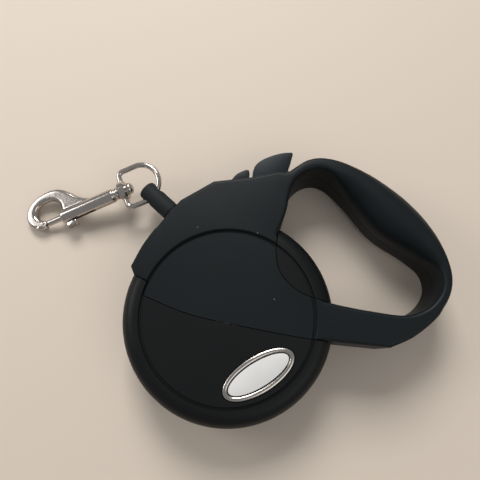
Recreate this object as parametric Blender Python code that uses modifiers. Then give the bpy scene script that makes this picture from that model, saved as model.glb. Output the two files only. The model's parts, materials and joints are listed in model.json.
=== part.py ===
"""Retractable cord leash, lying flat on its rear face.

Frame: metres, +Z up out of the front face, origin on the reel's axis at the rear face,
+X towards the hand loop. Every piece is one named mesh object, a closed solid.
"""
import math

import bmesh
import bpy
from mathutils import Matrix, Vector

MM = 0.001

# ---- Clearances ----------------------------------------------------------------------
GAP = 0.3 * MM                # between pieces that touch on the real object
RUN_GAP = 0.4 * MM            # around pieces that turn or slide

# ---- Case ----------------------------------------------------------------------------
THICKNESS = 27.0 * MM         # hood and hand loop, rear face to front face
WALL = 2.0 * MM
FACE_RECESS = 0.6 * MM        # the round front panel lies this far under the hood
FACE_R = 35.1 * MM            # round groove in the front panel
GROOVE_WIDTH = 0.9 * MM
GROOVE_DEPTH = 0.6 * MM
REEL_CASE_R = 43.0 * MM
SHOULDER_R = 6.5 * MM
REEL_WALL = 2.2 * MM
SKIN = 0.9 * MM               # what is left of a panel over a lapped boss
PANEL_STEP = 0.2 * MM         # the rear panel's edge stands this far inside its middle
LOOP_SEAM = ((32.0 * MM, 66.0 * MM), (45.5 * MM, 0.0))  # where the hand loop meets the hood

# ---- Reel ----------------------------------------------------------------------------
AXLE_R = 3.0 * MM
BOSS_WALL = 2.2 * MM
BOSS_HEIGHT = 2.6 * MM
WASHER_THICKNESS = 0.8 * MM
FLANGE_R = 35.5 * MM
FLANGE_THICKNESS = 1.4 * MM
SPOOL_WIDTH = 13.0 * MM
DRUM_R = 22.5 * MM
DRUM_WALL = 1.7 * MM
WINDING_R = 31.4 * MM
COVER_THICKNESS = 1.0 * MM
TEETH = 16
TOOTH_ROOT_R = 32.2 * MM
TOOTH_GAP_ANGLE = math.radians(62.2)
TOOTH_GAP_TIP_HALF = math.radians(8.0)
TOOTH_GAP_ROOT_HALF = math.radians(6.5)
SPRING_STRIP = 0.3 * MM
SPRING_TURNS = 6

# ---- Cord and leash end --------------------------------------------------------------
CORD_R = 1.1 * MM
OUTLET_MOUTH = Vector((-24.1 * MM, 45.7 * MM, THICKNESS / 2))
OUTLET_DIRECTION = Vector((-0.733, 0.682, 0.0)).normalized()
SLEEVE_R = 4.2 * MM
SLEEVE_OUT = 18.0 * MM
SLEEVE_IN = 2.6 * MM
MOUTH_WALL = 1.6 * MM
BUSH_LENGTH = 4.0 * MM
EYE_FROM_TIP = 4.8 * MM
FERRULE_LENGTH = 3.4 * MM

# ---- Swivel ring and snap hook -------------------------------------------------------
WIRE_R = 1.0 * MM
RING_HALF_WIDTH = 8.8 * MM
RING_SIDE = 8.5 * MM
RING_CORNER_R = 2.2 * MM
RING_EYE_R = 3.2 * MM
RING_EYE_LENGTH = 3.2 * MM
SNAP_HEADING = Vector((-0.937, -0.349, 0.0)).normalized()
HOOK_THICKNESS = 3.4 * MM
HOOK_REACH = 46.4 * MM
POST_R = 1.3 * MM
POST_HEAD_R = 2.6 * MM
POST_HEAD_LENGTH = 3.0 * MM
POST_LENGTH = 6.3 * MM
COLLAR_R = 2.7 * MM
BARREL_R = 3.2 * MM
COLLAR_START = 2.0 * MM
BARREL_START = 5.7 * MM
BARREL_END = 31.4 * MM
BOLT_R = 1.4 * MM
BOLT_START = 21.0 * MM
BOLT_END = 38.9 * MM
BOLT_TRAVEL = 7.2 * MM
STUD_LENGTH = 5.0 * MM
STUD_CENTRE = 27.4 * MM
STUD_PIN_R = 0.8 * MM
BOLT_SPRING_TURNS = 6

# ---- Brake and lock ------------------------------------------------------------------
BUTTON_WIDTH = 11.0 * MM
SLOT_GAP = 0.5 * MM           # around a button in its slot
SLOT_Y = (52.0 * MM, 66.0 * MM)
BRAKE_TRAVEL = 3.5 * MM
BRAKE_HEADING = Vector((-0.2, -0.98, 0.0)).normalized()
STEM_X = (15.5 * MM, 18.5 * MM)
STEM_TOP = 55.0 * MM
STEM_THICKNESS = 2.6 * MM
PAWL_REST_GAP = 0.87 * MM     # between the pawl at rest and the teeth
ARM_X = (-2.4 * MM, 11.0 * MM)
ARM_Y = (53.5 * MM, 54.8 * MM)
TIP_LENGTH = 3.6 * MM
BRAKE_SPRING_X = 11.8 * MM
BRAKE_SPRING_Y = 46.0 * MM
BRAKE_SPRING_R = 2.0 * MM
BRAKE_SPRING_WIRE_R = 0.3 * MM
BRAKE_SPRING_TURNS = 4
SPRING_RIB = 1.0 * MM
LOCK_TRAVEL = 3.5 * MM
SHANK_X = (2.2 * MM, 5.5 * MM)
SHANK_TOP = 60.0 * MM
SHANK_THICKNESS = 2.5 * MM
TONGUE_THICKNESS = 1.3 * MM

# ---- Fasteners and badge -------------------------------------------------------------
SCREW_R = 0.9 * MM
SCREW_HEAD_R = 1.7 * MM
SCREW_HEAD_Z = (3.0 * MM, 4.6 * MM)
SCREW_TIP_Z = 20.5 * MM
SCREW_BOSS_R = 2.4 * MM
REEL_SCREW_R = 38.3 * MM
REEL_SCREW_ANGLES = (200.0, 268.0, 336.0)
FRAME_SCREWS = ((-9.5 * MM, 47.8 * MM), (76.5 * MM, 37.5 * MM), (56.0 * MM, -4.6 * MM))
BADGE_AT = (12.2 * MM, -22.3 * MM)
BADGE_TURN = math.radians(31.0)
BADGE_SEMI = (15.9 * MM, 7.0 * MM)
BADGE_RIM = 1.7 * MM
BADGE_PROUD = 0.5 * MM

MID_Z = THICKNESS / 2
FACE_Z = THICKNESS - FACE_RECESS
SPOOL_Z = (MID_Z - SPOOL_WIDTH / 2, MID_Z + SPOOL_WIDTH / 2)
REAR_PANEL_Z = WALL + PANEL_STEP
FRONT_PANEL_Z = FACE_Z - WALL + FACE_RECESS / 2
REEL_ROOM_Z = (WALL, FACE_Z - WALL)
AXLE_BORE_R = AXLE_R + GAP
BOSS_R = AXLE_BORE_R + BOSS_WALL
BUTTON_Z = (MID_Z - BUTTON_WIDTH / 2, MID_Z + BUTTON_WIDTH / 2)
SHANK_Z = (BUTTON_Z[1] - SHANK_THICKNESS, BUTTON_Z[1])
STEM_Z = (SPOOL_Z[1] + RUN_GAP - STEM_THICKNESS, SPOOL_Z[1] + RUN_GAP)
BRAKE_DRIFT = BRAKE_HEADING.x * BRAKE_TRAVEL
STEM_FOOT = math.sqrt((FLANGE_R + PAWL_REST_GAP) ** 2 - STEM_X[0] ** 2)
SPOOL_BORE_R = AXLE_R + RUN_GAP

# Outlines in millimetres as (x, y, corner). A point that isn't a corner is passed smoothly.
FRAME_OUTLINE = (
    (-34.1, 8.6, True), (-16.4, 1.4, False), (4.7, -3.5, False), (34.1, -8.9, False),
    (64.3, -12.2, True), (74.0, -7.9, False), (84.6, 0.5, False), (90.9, 9.6, False),
    (92.3, 19.4, False), (88.4, 34.4, False), (79.5, 47.8, False), (66.0, 59.4, False),
    (53.0, 66.2, False), (42.5, 68.8, False), (34.5, 67.8, False), (26.2, 62.4, True),
    (8.8, 58.7, True), (-6.1, 57.0, True), (-20.0, 48.7, True), (-27.3, 40.0, True), (-34.6, 29.8, False),
    (-39.4, 20.3, True), (-38.0, 16.8, True), (-32.1, 14.1, True), (-33.3, 11.0, False),
)
OPENING_OUTLINE = (
    (20.7, 34.8, True), (24.4, 44.0, False), (26.2, 52.5, False), (29.0, 58.0, False),
    (33.8, 61.7, False), (39.5, 62.7, False), (45.2, 60.0, False), (53.9, 48.6, False),
    (63.8, 36.0, False), (78.6, 25.7, False), (85.6, 20.3, False), (87.4, 14.2, False),
    (85.4, 8.6, False), (80.2, 3.4, False), (72.0, 0.5, False), (58.7, 1.9, False),
    (41.0, 5.5, False), (28.8, 9.8, False), (21.3, 17.6, False), (19.6, 26.0, False),
)
FIN_OUTLINE = (
    (10.3, 53.3, True), (10.6, 63.8, True), (11.8, 66.9, False), (14.6, 69.4, False),
    (19.7, 71.7, False), (24.4, 72.9, False), (28.3, 73.1, True), (28.5, 72.0, True),
    (25.0, 61.5, True), (22.3, 57.0, True), (22.3, 53.3, True),
)
LOCK_OUTLINE = (
    (-0.1, 58.3, True), (3.4, 62.8, False), (7.6, 65.0, True), (8.9, 64.7, True),
    (9.2, 62.8, False), (8.7, 59.2, True),
)
# In the snap's own plane: x from the ring along the barrel, y towards the hook's crown.
HOOK_OUTLINE = (
    (15.0, 1.0, True), (17.4, 4.0, False), (20.8, 6.2, False), (24.6, 10.2, False),
    (29.0, 13.2, False), (34.0, 14.0, False), (40.5, 12.6, False), (45.0, 9.0, False),
    (46.4, 4.8, False), (44.8, 0.8, False), (41.8, -1.5, True), (39.3, -1.5, True),
    (39.3, 1.5, True), (41.6, 2.8, False), (42.9, 5.6, False), (40.9, 8.7, False),
    (36.6, 9.8, False), (32.2, 8.6, False), (30.2, 5.8, False), (30.4, 3.0, True),
    (30.4, 1.0, True),
)

HOOD_END = 15                 # FRAME_OUTLINE's corner between hood and hand loop
FIN_HEEL = 8                  # FIN_OUTLINE's corner at the foot of its sloping rear edge

CURVE_STEPS = 4
ROUND_STEPS = 64


# ---- Scene and materials -------------------------------------------------------------
def clear_scene():
    """Remove every object that is already in the scene."""
    for obj in list(bpy.data.objects):
        bpy.data.objects.remove(obj, do_unlink=True)


def new_collection(name):
    """Return a new collection linked to the scene."""
    collection = bpy.data.collections.new(name)
    bpy.context.scene.collection.children.link(collection)
    return collection


def material(name, colour, roughness, metallic=0.0):
    """Return a Principled material."""
    made = bpy.data.materials.new(name)
    made.use_nodes = True
    shader = made.node_tree.nodes["Principled BSDF"]
    shader.inputs["Base Color"].default_value = (*colour, 1.0)
    shader.inputs["Roughness"].default_value = roughness
    shader.inputs["Metallic"].default_value = metallic
    return made


clear_scene()
PARTS = new_collection("retractable_leash")
CUTTERS = new_collection("cutters")


# ---- Mesh helpers --------------------------------------------------------------------
def add_mesh(name, mesh, matrix=None):
    """Link a mesh as a hidden guide object and return it."""
    obj = bpy.data.objects.new(name, mesh)
    if matrix is not None:
        mesh.transform(matrix)
    CUTTERS.objects.link(obj)
    obj.hide_render = True
    obj.display_type = "WIRE"
    return obj


def tidy_mesh(mesh):
    """Weld coincident vertices and point every face outwards."""
    bm = bmesh.new()
    bm.from_mesh(mesh)
    bmesh.ops.remove_doubles(bm, verts=bm.verts, dist=1e-6)
    bmesh.ops.recalc_face_normals(bm, faces=bm.faces)
    bm.to_mesh(mesh)
    bm.free()
    return mesh


def baked(obj):
    """Return the evaluated mesh of an object, and remove the object."""
    bpy.context.view_layer.update()
    graph = bpy.context.evaluated_depsgraph_get()
    mesh = bpy.data.meshes.new_from_object(obj.evaluated_get(graph), depsgraph=graph)
    mesh.transform(obj.matrix_world)
    bpy.data.objects.remove(obj, do_unlink=True)
    return tidy_mesh(mesh)


def part(obj, name, finish):
    """Turn a finished guide object into a named sub-part with its material."""
    obj.name = name
    obj.data.name = name
    obj.data.materials.clear()
    obj.data.materials.append(finish)
    obj.hide_render = False
    obj.display_type = "TEXTURED"
    CUTTERS.objects.unlink(obj)
    PARTS.objects.link(obj)
    obj.data.shade_smooth()
    obj.data.set_sharp_from_angle(angle=math.radians(35))
    return obj


def combine(obj, *steps):
    """Apply (operation, tool) Boolean steps to an object and return the result."""
    name = obj.name
    for operation, tool in steps:
        step = obj.modifiers.new("step", "BOOLEAN")
        step.operation = operation
        step.solver = "EXACT"
        step.object = tool
    return add_mesh(name, baked(obj))


def cut(obj, *tools):
    """Subtract tools from an object."""
    return combine(obj, *(("DIFFERENCE", tool) for tool in tools))


def join(obj, *tools):
    """Unite tools with an object."""
    return combine(obj, *(("UNION", tool) for tool in tools))


def along(origin, direction, side=None):
    """Return the matrix whose Z axis is direction, at origin."""
    z_axis = Vector(direction).normalized()
    guide = Vector(side) if side is not None else Vector((0, 0, 1))
    if abs(z_axis.dot(guide)) > 0.99:
        guide = Vector((1, 0, 0))
    x_axis = (guide - z_axis * guide.dot(z_axis)).normalized()
    y_axis = z_axis.cross(x_axis)
    turn = Matrix((x_axis, y_axis, z_axis)).transposed().to_4x4()
    return Matrix.Translation(origin) @ turn


def smooth_outline(points, steps=CURVE_STEPS):
    """Return a closed polyline in metres through (x, y, corner) points in millimetres."""
    line = []
    count = len(points)
    for i in range(count):
        before, start, end, after = (points[(i + k) % count] for k in (-1, 0, 1, 2))
        p1, p2 = Vector(start[:2]), Vector(end[:2])
        p0 = p1 * 2 - p2 if start[2] else Vector(before[:2])
        p3 = p2 * 2 - p1 if end[2] else Vector(after[:2])
        span = (p2 - p1).length
        m1 = (p2 - p0) * span / ((p2 - p1).length + (p1 - p0).length)
        m2 = (p3 - p1) * span / ((p3 - p2).length + (p2 - p1).length)
        pieces = 1 if start[2] and end[2] else steps
        for k in range(pieces):
            t = k / pieces
            blend = (p1 * (2 * t**3 - 3 * t**2 + 1) + m1 * (t**3 - 2 * t**2 + t)
                     + p2 * (3 * t**2 - 2 * t**3) + m2 * (t**3 - t**2))
            line.append(blend * MM)
    return line


def signed_area(line):
    """Return twice the signed area of a closed polyline."""
    return sum(a.x * b.y - b.x * a.y for a, b in zip(line, line[1:] + line[:1]))


def distance_to(line, point):
    """Return the distance from a point to a closed polyline."""
    best = math.inf
    for a, b in zip(line, line[1:] + line[:1]):
        side = b - a
        t = max(0.0, min(1.0, (point - a).dot(side) / side.length_squared))
        best = min(best, (point - a - side * t).length)
    return best


def offset_outline(line, distance):
    """Grow a closed polyline outwards, or shrink it where distance is negative."""
    turn = 1.0 if signed_area(line) > 0 else -1.0
    moved = []
    for before, here, after in zip(line[-1:] + line[:-1], line, line[1:] + line[:1]):
        first, second = (here - before).normalized(), (after - here).normalized()
        normal = Vector((first.y + second.y, -first.x - second.x)).normalized() * turn
        stretch = 1.0 / max(0.5, normal.dot(Vector((first.y, -first.x)) * turn))
        moved.append(here + normal * distance * stretch)
    return [p for p in moved if distance_to(line, p) > abs(distance) * 0.97]


def prism(name, loops, low, high):
    """Extrude closed polylines, the first one outside and the rest holes, from low to high."""
    curve = bpy.data.curves.new(name, "CURVE")
    curve.dimensions = "2D"
    curve.fill_mode = "BOTH"
    curve.extrude = (high - low) / 2
    for loop in loops:
        spline = curve.splines.new("POLY")
        spline.points.add(len(loop) - 1)
        for point, here in zip(spline.points, loop):
            point.co = (here.x, here.y, 0.0, 1.0)
        spline.use_cyclic_u = True
    obj = bpy.data.objects.new(name, curve)
    obj.location.z = (low + high) / 2
    CUTTERS.objects.link(obj)
    return add_mesh(name, baked(obj))


def turned(name, profile, steps=48, matrix=None):
    """Turn a closed loop of (radius, height) points about Z. A radius of 0 is on the axis."""
    mesh = bpy.data.meshes.new(name)
    closed = min(radius for radius, _ in profile) > 0
    edges = [(i, i + 1) for i in range(len(profile) - 1)]
    if closed:
        edges.append((len(profile) - 1, 0))
    mesh.from_pydata([(radius, 0.0, height) for radius, height in profile], edges, [])
    obj = bpy.data.objects.new(name, mesh)
    CUTTERS.objects.link(obj)
    screw = obj.modifiers.new("turn", "SCREW")
    screw.steps = steps
    screw.render_steps = steps
    screw.use_merge_vertices = True
    screw.merge_threshold = 1e-6
    return add_mesh(name, baked(obj), matrix)


def rod(name, radius, low, high, matrix=None, steps=32):
    """Return a plain cylinder along Z from low to high."""
    profile = [(0.0, high), (radius, high), (radius, low), (0.0, low)]
    return turned(name, profile, steps, matrix)


def pipe(name, inner, outer, low, high, matrix=None, steps=48):
    """Return a hollow cylinder along Z from low to high."""
    profile = [(outer, high), (outer, low), (inner, low), (inner, high)]
    return turned(name, profile, steps, matrix)


def block(name, low, high, matrix=None):
    """Return a box between two corners."""
    bm = bmesh.new()
    bmesh.ops.create_cube(bm, size=1.0)
    size = [b - a for a, b in zip(low, high)]
    middle = [(a + b) / 2 for a, b in zip(low, high)]
    bmesh.ops.scale(bm, vec=size, verts=bm.verts)
    bmesh.ops.translate(bm, vec=middle, verts=bm.verts)
    mesh = bpy.data.meshes.new(name)
    bm.to_mesh(mesh)
    bm.free()
    return add_mesh(name, mesh, matrix)


def wire(name, points, radius, cyclic=False, resolution=2, matrix=None):
    """Return a round wire along points as a closed mesh."""
    curve = bpy.data.curves.new(name, "CURVE")
    curve.dimensions = "3D"
    curve.bevel_depth = radius
    curve.bevel_resolution = resolution
    curve.use_fill_caps = not cyclic
    spline = curve.splines.new("POLY")
    spline.points.add(len(points) - 1)
    for point, here in zip(spline.points, points):
        point.co = (*here, 1.0)
    spline.use_cyclic_u = cyclic
    obj = bpy.data.objects.new(name, curve)
    CUTTERS.objects.link(obj)
    return add_mesh(name, baked(obj), matrix)


def coil(low, high, radius, turns, steps=10):
    """Return the points of a helix about Z."""
    count = turns * steps
    return [
        (radius * math.cos(math.tau * k / steps), radius * math.sin(math.tau * k / steps),
         low + (high - low) * k / count)
        for k in range(count + 1)
    ]


def ellipse(centre, semi, turn, steps=48):
    """Return a closed elliptical polyline."""
    line = []
    for k in range(steps):
        angle = math.tau * k / steps
        x, y = semi[0] * math.cos(angle), semi[1] * math.sin(angle)
        line.append(Vector((centre[0] + x * math.cos(turn) - y * math.sin(turn),
                            centre[1] + x * math.sin(turn) + y * math.cos(turn))))
    return line


# ---- Shared places -------------------------------------------------------------------
OUTLET = along(OUTLET_MOUTH, OUTLET_DIRECTION)
FRAME_LINE = smooth_outline(FRAME_OUTLINE)
OPENING_LINE = smooth_outline(OPENING_OUTLINE)
MOUTH_BORE_R = SLEEVE_R + RUN_GAP
BUSH_END = -SLEEVE_IN - 2 * GAP
BUSH_START = BUSH_END - BUSH_LENGTH
LEAD_BEND = OUTLET_MOUTH + OUTLET_DIRECTION * (BUSH_START - 1.5 * MM)


def lead_tangent():
    """Return where the cord leaves the winding towards the outlet."""
    radius = WINDING_R + GAP + CORD_R
    flat = LEAD_BEND.to_2d()
    angle = math.atan2(flat.y, flat.x) - math.acos(radius / flat.length)
    return Vector((radius * math.cos(angle), radius * math.sin(angle), MID_Z))


LEAD_START = lead_tangent()
REEL_SCREWS = tuple(
    (REEL_SCREW_R * math.cos(math.radians(a)), REEL_SCREW_R * math.sin(math.radians(a)))
    for a in REEL_SCREW_ANGLES
)


# ---- Case shells ---------------------------------------------------------------------
def screw_tools(x, y):
    """Return the clearance bore and the head's counterbore at one screw."""
    at = Matrix.Translation((x, y, 0.0))
    bore = rod("bore", SCREW_R + GAP, -MM, SCREW_TIP_Z + 2 * GAP, at, 16)
    sink = rod("sink", SCREW_HEAD_R + GAP, -MM, SCREW_HEAD_Z[1] + GAP, at, 20)
    return bore, sink


def split(body, front):
    """Keep the half of a body on one side of the parting plane."""
    reach = 0.2
    low = MID_Z + GAP / 2 if front else -0.01
    high = THICKNESS + 0.01 if front else MID_Z - GAP / 2
    half = block("half", (-reach, -reach, low), (reach, reach, high))
    return combine(body, ("INTERSECT", half))


def fin_slot_x():
    """Return the brake slot's two ends, clear of the fin both at rest and pressed."""
    (foot_x, foot_y, _), (tip_x, tip_y, _) = FIN_OUTLINE[FIN_HEEL], FIN_OUTLINE[FIN_HEEL - 1]
    lean = (tip_x - foot_x) / (tip_y - foot_y)
    rise = (FRAME_OUTLINE[HOOD_END][1] - foot_y) * MM
    heel_x = foot_x * MM + lean * rise
    pressed_x = heel_x - lean * BRAKE_HEADING.y * BRAKE_TRAVEL + BRAKE_DRIFT
    return FIN_OUTLINE[0][0] * MM + BRAKE_DRIFT - SLOT_GAP, max(heel_x, pressed_x) + GAP


def part_off_loop(body):
    """Split the frame into the hood with its panel and the hand loop, along the loop's seam."""
    top, foot = (Vector(point) for point in LOOP_SEAM)
    way = (foot - top).normalized()
    out = Vector((-way.y, way.x))
    reach = 0.1
    zones = []
    for side in (1, -1):
        start = top + out * side * GAP / 2
        corners = [start - way * reach, start + way * reach]
        corners += [corner + out * side * 2 * reach for corner in reversed(corners)]
        zones.append(prism("zone", [corners], -0.01, THICKNESS + 0.01))
    copy = add_mesh("frame_copy", body.data.copy())
    return combine(body, ("INTERSECT", zones[1])), combine(copy, ("INTERSECT", zones[0]))


def frame_pieces():
    """Return the front and rear halves of hood with upper panel and of the hand loop, by name."""
    inner = offset_outline(FRAME_LINE, -WALL)
    inner_hole = offset_outline(OPENING_LINE, WALL)
    body = prism("frame", [FRAME_LINE], 0.0, THICKNESS)
    body = cut(body, prism("hole", [OPENING_LINE], -MM, THICKNESS + MM))
    room = prism("room", [inner], WALL, THICKNESS - WALL)
    kept = [prism("kept_hole", [inner_hole], -MM, THICKNESS + MM)]
    for x, y in FRAME_SCREWS:
        kept.append(rod("boss", SCREW_BOSS_R, -MM, THICKNESS + MM,
                        Matrix.Translation((x, y, 0.0)), 24))
    kept.append(rod("mouth_boss", MOUTH_BORE_R + MOUTH_WALL, BUSH_START - MM, 4 * MM, OUTLET))
    rib_r = BRAKE_SPRING_R + RUN_GAP
    kept.append(block("spring_rib",
                      (BRAKE_SPRING_X - rib_r - RUN_GAP, BRAKE_SPRING_Y - SPRING_RIB, 0.0),
                      (BRAKE_SPRING_X + rib_r, BRAKE_SPRING_Y, THICKNESS)))
    room = cut(room, *kept)
    reel_room = rod("reel_room", REEL_CASE_R + GAP, REAR_PANEL_Z, FRONT_PANEL_Z, None, ROUND_STEPS)
    face = rod("face", FACE_R, FACE_Z, THICKNESS + MM, None, ROUND_STEPS)
    groove = pipe("groove", FACE_R - GROOVE_WIDTH / 2, FACE_R + GROOVE_WIDTH / 2,
                  FACE_Z - GROOVE_DEPTH, THICKNESS + MM, None, ROUND_STEPS)
    mouth = rod("mouth", MOUTH_BORE_R, BUSH_START - 2 * MM, 6 * MM, OUTLET)
    slot_x = fin_slot_x()
    brake_slot = block("brake_slot", (slot_x[0], SLOT_Y[0], BUTTON_Z[0] - SLOT_GAP),
                       (slot_x[1], SLOT_Y[1], BUTTON_Z[1] + SLOT_GAP))
    lock_slot = block("lock_slot", (SHANK_X[0] - LOCK_TRAVEL - SLOT_GAP, SLOT_Y[0], SHANK_Z[0] - SLOT_GAP),
                      (SHANK_X[1] + SLOT_GAP, SLOT_Y[1], SHANK_Z[1] + SLOT_GAP))
    body = cut(body, room, reel_room, face, groove, mouth, brake_slot, lock_slot)
    bosses = [
        rod("rear_boss", BOSS_R, WALL - SKIN + GAP, WALL + BOSS_HEIGHT),
        rod("front_boss", BOSS_R, FRONT_PANEL_Z - BOSS_HEIGHT, FACE_Z - SKIN - GAP),
    ]
    body = join(body, *bosses)
    bore = rod("axle_bore", AXLE_BORE_R, WALL + GAP, FRONT_PANEL_Z - GAP)
    tools = [bore]
    for x, y in FRAME_SCREWS:
        tools.extend(screw_tools(x, y))
    body = cut(body, *tools)
    pieces = {}
    for name, whole in zip(("handle_frame", "hand_loop"), part_off_loop(body)):
        copy = add_mesh(name, whole.data.copy())
        pieces[f"front_{name}"] = split(whole, True)
        pieces[f"rear_{name}"] = split(copy, False)
    return pieces


def shoulder(centre_r, centre_z, sign, steps=6):
    """Return the rounded shoulder's (radius, height) points from the face to the rim."""
    return [
        (centre_r + SHOULDER_R * math.sin(math.pi / 2 * k / steps),
         centre_z + sign * SHOULDER_R * math.cos(math.pi / 2 * k / steps))
        for k in range(steps + 1)
    ]


def reel_case_halves():
    """Return the front and rear halves of the round reel case."""
    face_r = REEL_CASE_R - SHOULDER_R
    rim = shoulder(face_r, FACE_Z - SHOULDER_R, 1) + shoulder(face_r, SHOULDER_R, -1)[::-1]
    body = turned("reel_case", [(0.0, FACE_Z), *rim, (0.0, 0.0)], ROUND_STEPS)
    low, high = REEL_ROOM_Z
    inner_r = REEL_CASE_R - REEL_WALL
    corner = SHOULDER_R - WALL
    room = turned("room", [(0.0, high), (inner_r - corner, high), (inner_r, high - corner),
                           (inner_r, low + corner), (inner_r - corner, low), (0.0, low)], ROUND_STEPS)
    kept = [rod("boss", SCREW_BOSS_R - GAP, -MM, THICKNESS, Matrix.Translation((x, y, 0.0)), 24)
            for x, y in REEL_SCREWS]
    room = cut(room, *kept)
    grown = offset_outline(FRAME_LINE, GAP)
    hole = prism("kept_lens", [offset_outline(OPENING_LINE, -GAP)], -MM, THICKNESS + MM)
    front_zone = cut(prism("front_zone", [grown], FRONT_PANEL_Z - GAP, THICKNESS + MM), hole)
    rear_zone = cut(prism("rear_zone", [grown], -MM, REAR_PANEL_Z + GAP), hole)
    groove = pipe("groove", FACE_R - GROOVE_WIDTH / 2, FACE_R + GROOVE_WIDTH / 2,
                  FACE_Z - GROOVE_DEPTH, THICKNESS, None, ROUND_STEPS)
    lap_r = BOSS_R + GAP
    laps = [rod("rear_lap", lap_r, WALL - SKIN, WALL + MM),
            rod("front_lap", lap_r, FACE_Z - WALL - MM, FACE_Z - SKIN)]
    inwards = LEAD_START - LEAD_BEND
    window = rod("cord_window", CORD_R + 1.5 * MM, -3 * MM, inwards.length * 0.5,
                 along(LEAD_BEND, inwards), 24)
    pawl_slot = block("pawl_slot",
                      (STEM_X[0] + BRAKE_DRIFT - SLOT_GAP, STEM_FOOT - BRAKE_TRAVEL, STEM_Z[0] - SLOT_GAP),
                      (STEM_X[1] + SLOT_GAP, REEL_CASE_R + MM, STEM_Z[1] + SLOT_GAP))
    badge = prism("badge_pocket", [ellipse(BADGE_AT, [s + GAP for s in BADGE_SEMI], BADGE_TURN)],
                  FACE_Z - GROOVE_DEPTH - GAP, THICKNESS)
    tools = [room, front_zone, rear_zone, groove, *laps, window, pawl_slot, badge]
    for x, y in REEL_SCREWS:
        tools.extend(screw_tools(x, y))
    body = cut(body, *tools)
    copy = add_mesh("case_copy", body.data.copy())
    return split(body, True), split(copy, False)


def make_case(plastic, steel, brass, chrome, plain):
    """Build everything that is fixed in the case."""
    for name, piece in frame_pieces().items():
        part(piece, name, plastic)
    front, rear = reel_case_halves()
    part(front, "front_reel_case", plastic)
    part(rear, "rear_reel_case", plastic)
    part(rod("axle", AXLE_R, WALL + 2 * GAP, FRONT_PANEL_Z - 2 * GAP), "reel_axle", steel)
    for name, low in (
        ("rear_axle_washer", WALL + BOSS_HEIGHT + GAP),
        ("front_axle_washer", FRONT_PANEL_Z - BOSS_HEIGHT - GAP - WASHER_THICKNESS),
    ):
        ring = pipe(name, AXLE_BORE_R, BOSS_R, low, low + WASHER_THICKNESS)
        part(ring, name, brass)
    bush_r = MOUTH_BORE_R - GAP
    bush_bore = CORD_R + 0.6 * MM
    lip = 1.0 * MM
    bush = turned("bush", [(bush_r, BUSH_END), (bush_r, BUSH_START), (bush_bore + lip, BUSH_START),
                           (bush_bore, BUSH_START + lip), (bush_bore, BUSH_END - lip),
                           (bush_bore + lip, BUSH_END)], 32, OUTLET)
    part(bush, "cord_outlet_bush", steel)
    places = [*REEL_SCREWS, *FRAME_SCREWS]
    for number, (x, y) in enumerate(places, 1):
        profile = [(0.0, SCREW_TIP_Z), (SCREW_R, SCREW_TIP_Z - SCREW_R), (SCREW_R, SCREW_HEAD_Z[1]),
                   (SCREW_HEAD_R, SCREW_HEAD_Z[1]), (SCREW_HEAD_R, SCREW_HEAD_Z[0]),
                   (0.0, SCREW_HEAD_Z[0])]
        screw = turned("screw", profile, 16, Matrix.Translation((x, y, 0.0)))
        part(screw, f"case_screw_{number}", steel)
    floor_z = FACE_Z - GROOVE_DEPTH
    inner = [s - BADGE_RIM for s in BADGE_SEMI]
    bezel = prism("bezel", [ellipse(BADGE_AT, BADGE_SEMI, BADGE_TURN)], floor_z, FACE_Z + BADGE_PROUD)
    bezel = cut(bezel, prism("inner", [ellipse(BADGE_AT, inner, BADGE_TURN)], floor_z - MM, THICKNESS + MM))
    part(bezel, "badge_bezel", chrome)
    plate = prism("plate", [ellipse(BADGE_AT, [s - GAP for s in inner], BADGE_TURN)],
                  floor_z, FACE_Z + BADGE_PROUD / 2)
    part(plate, "badge_plate", plain)


# ---- Reel ----------------------------------------------------------------------------
def tooth_outline():
    """Return the toothed flange's closed outline."""
    pitch = math.tau / TEETH
    line = []
    for k in range(TEETH):
        middle = TOOTH_GAP_ANGLE + k * pitch
        stations = (
            (-TOOTH_GAP_TIP_HALF, FLANGE_R), (-TOOTH_GAP_ROOT_HALF, TOOTH_ROOT_R),
            (0.0, TOOTH_ROOT_R), (TOOTH_GAP_ROOT_HALF, TOOTH_ROOT_R),
            (TOOTH_GAP_TIP_HALF, FLANGE_R), (pitch / 2, FLANGE_R),
        )
        for angle, radius in stations:
            line.append(Vector((radius * math.cos(middle + angle), radius * math.sin(middle + angle))))
    return line


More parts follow.
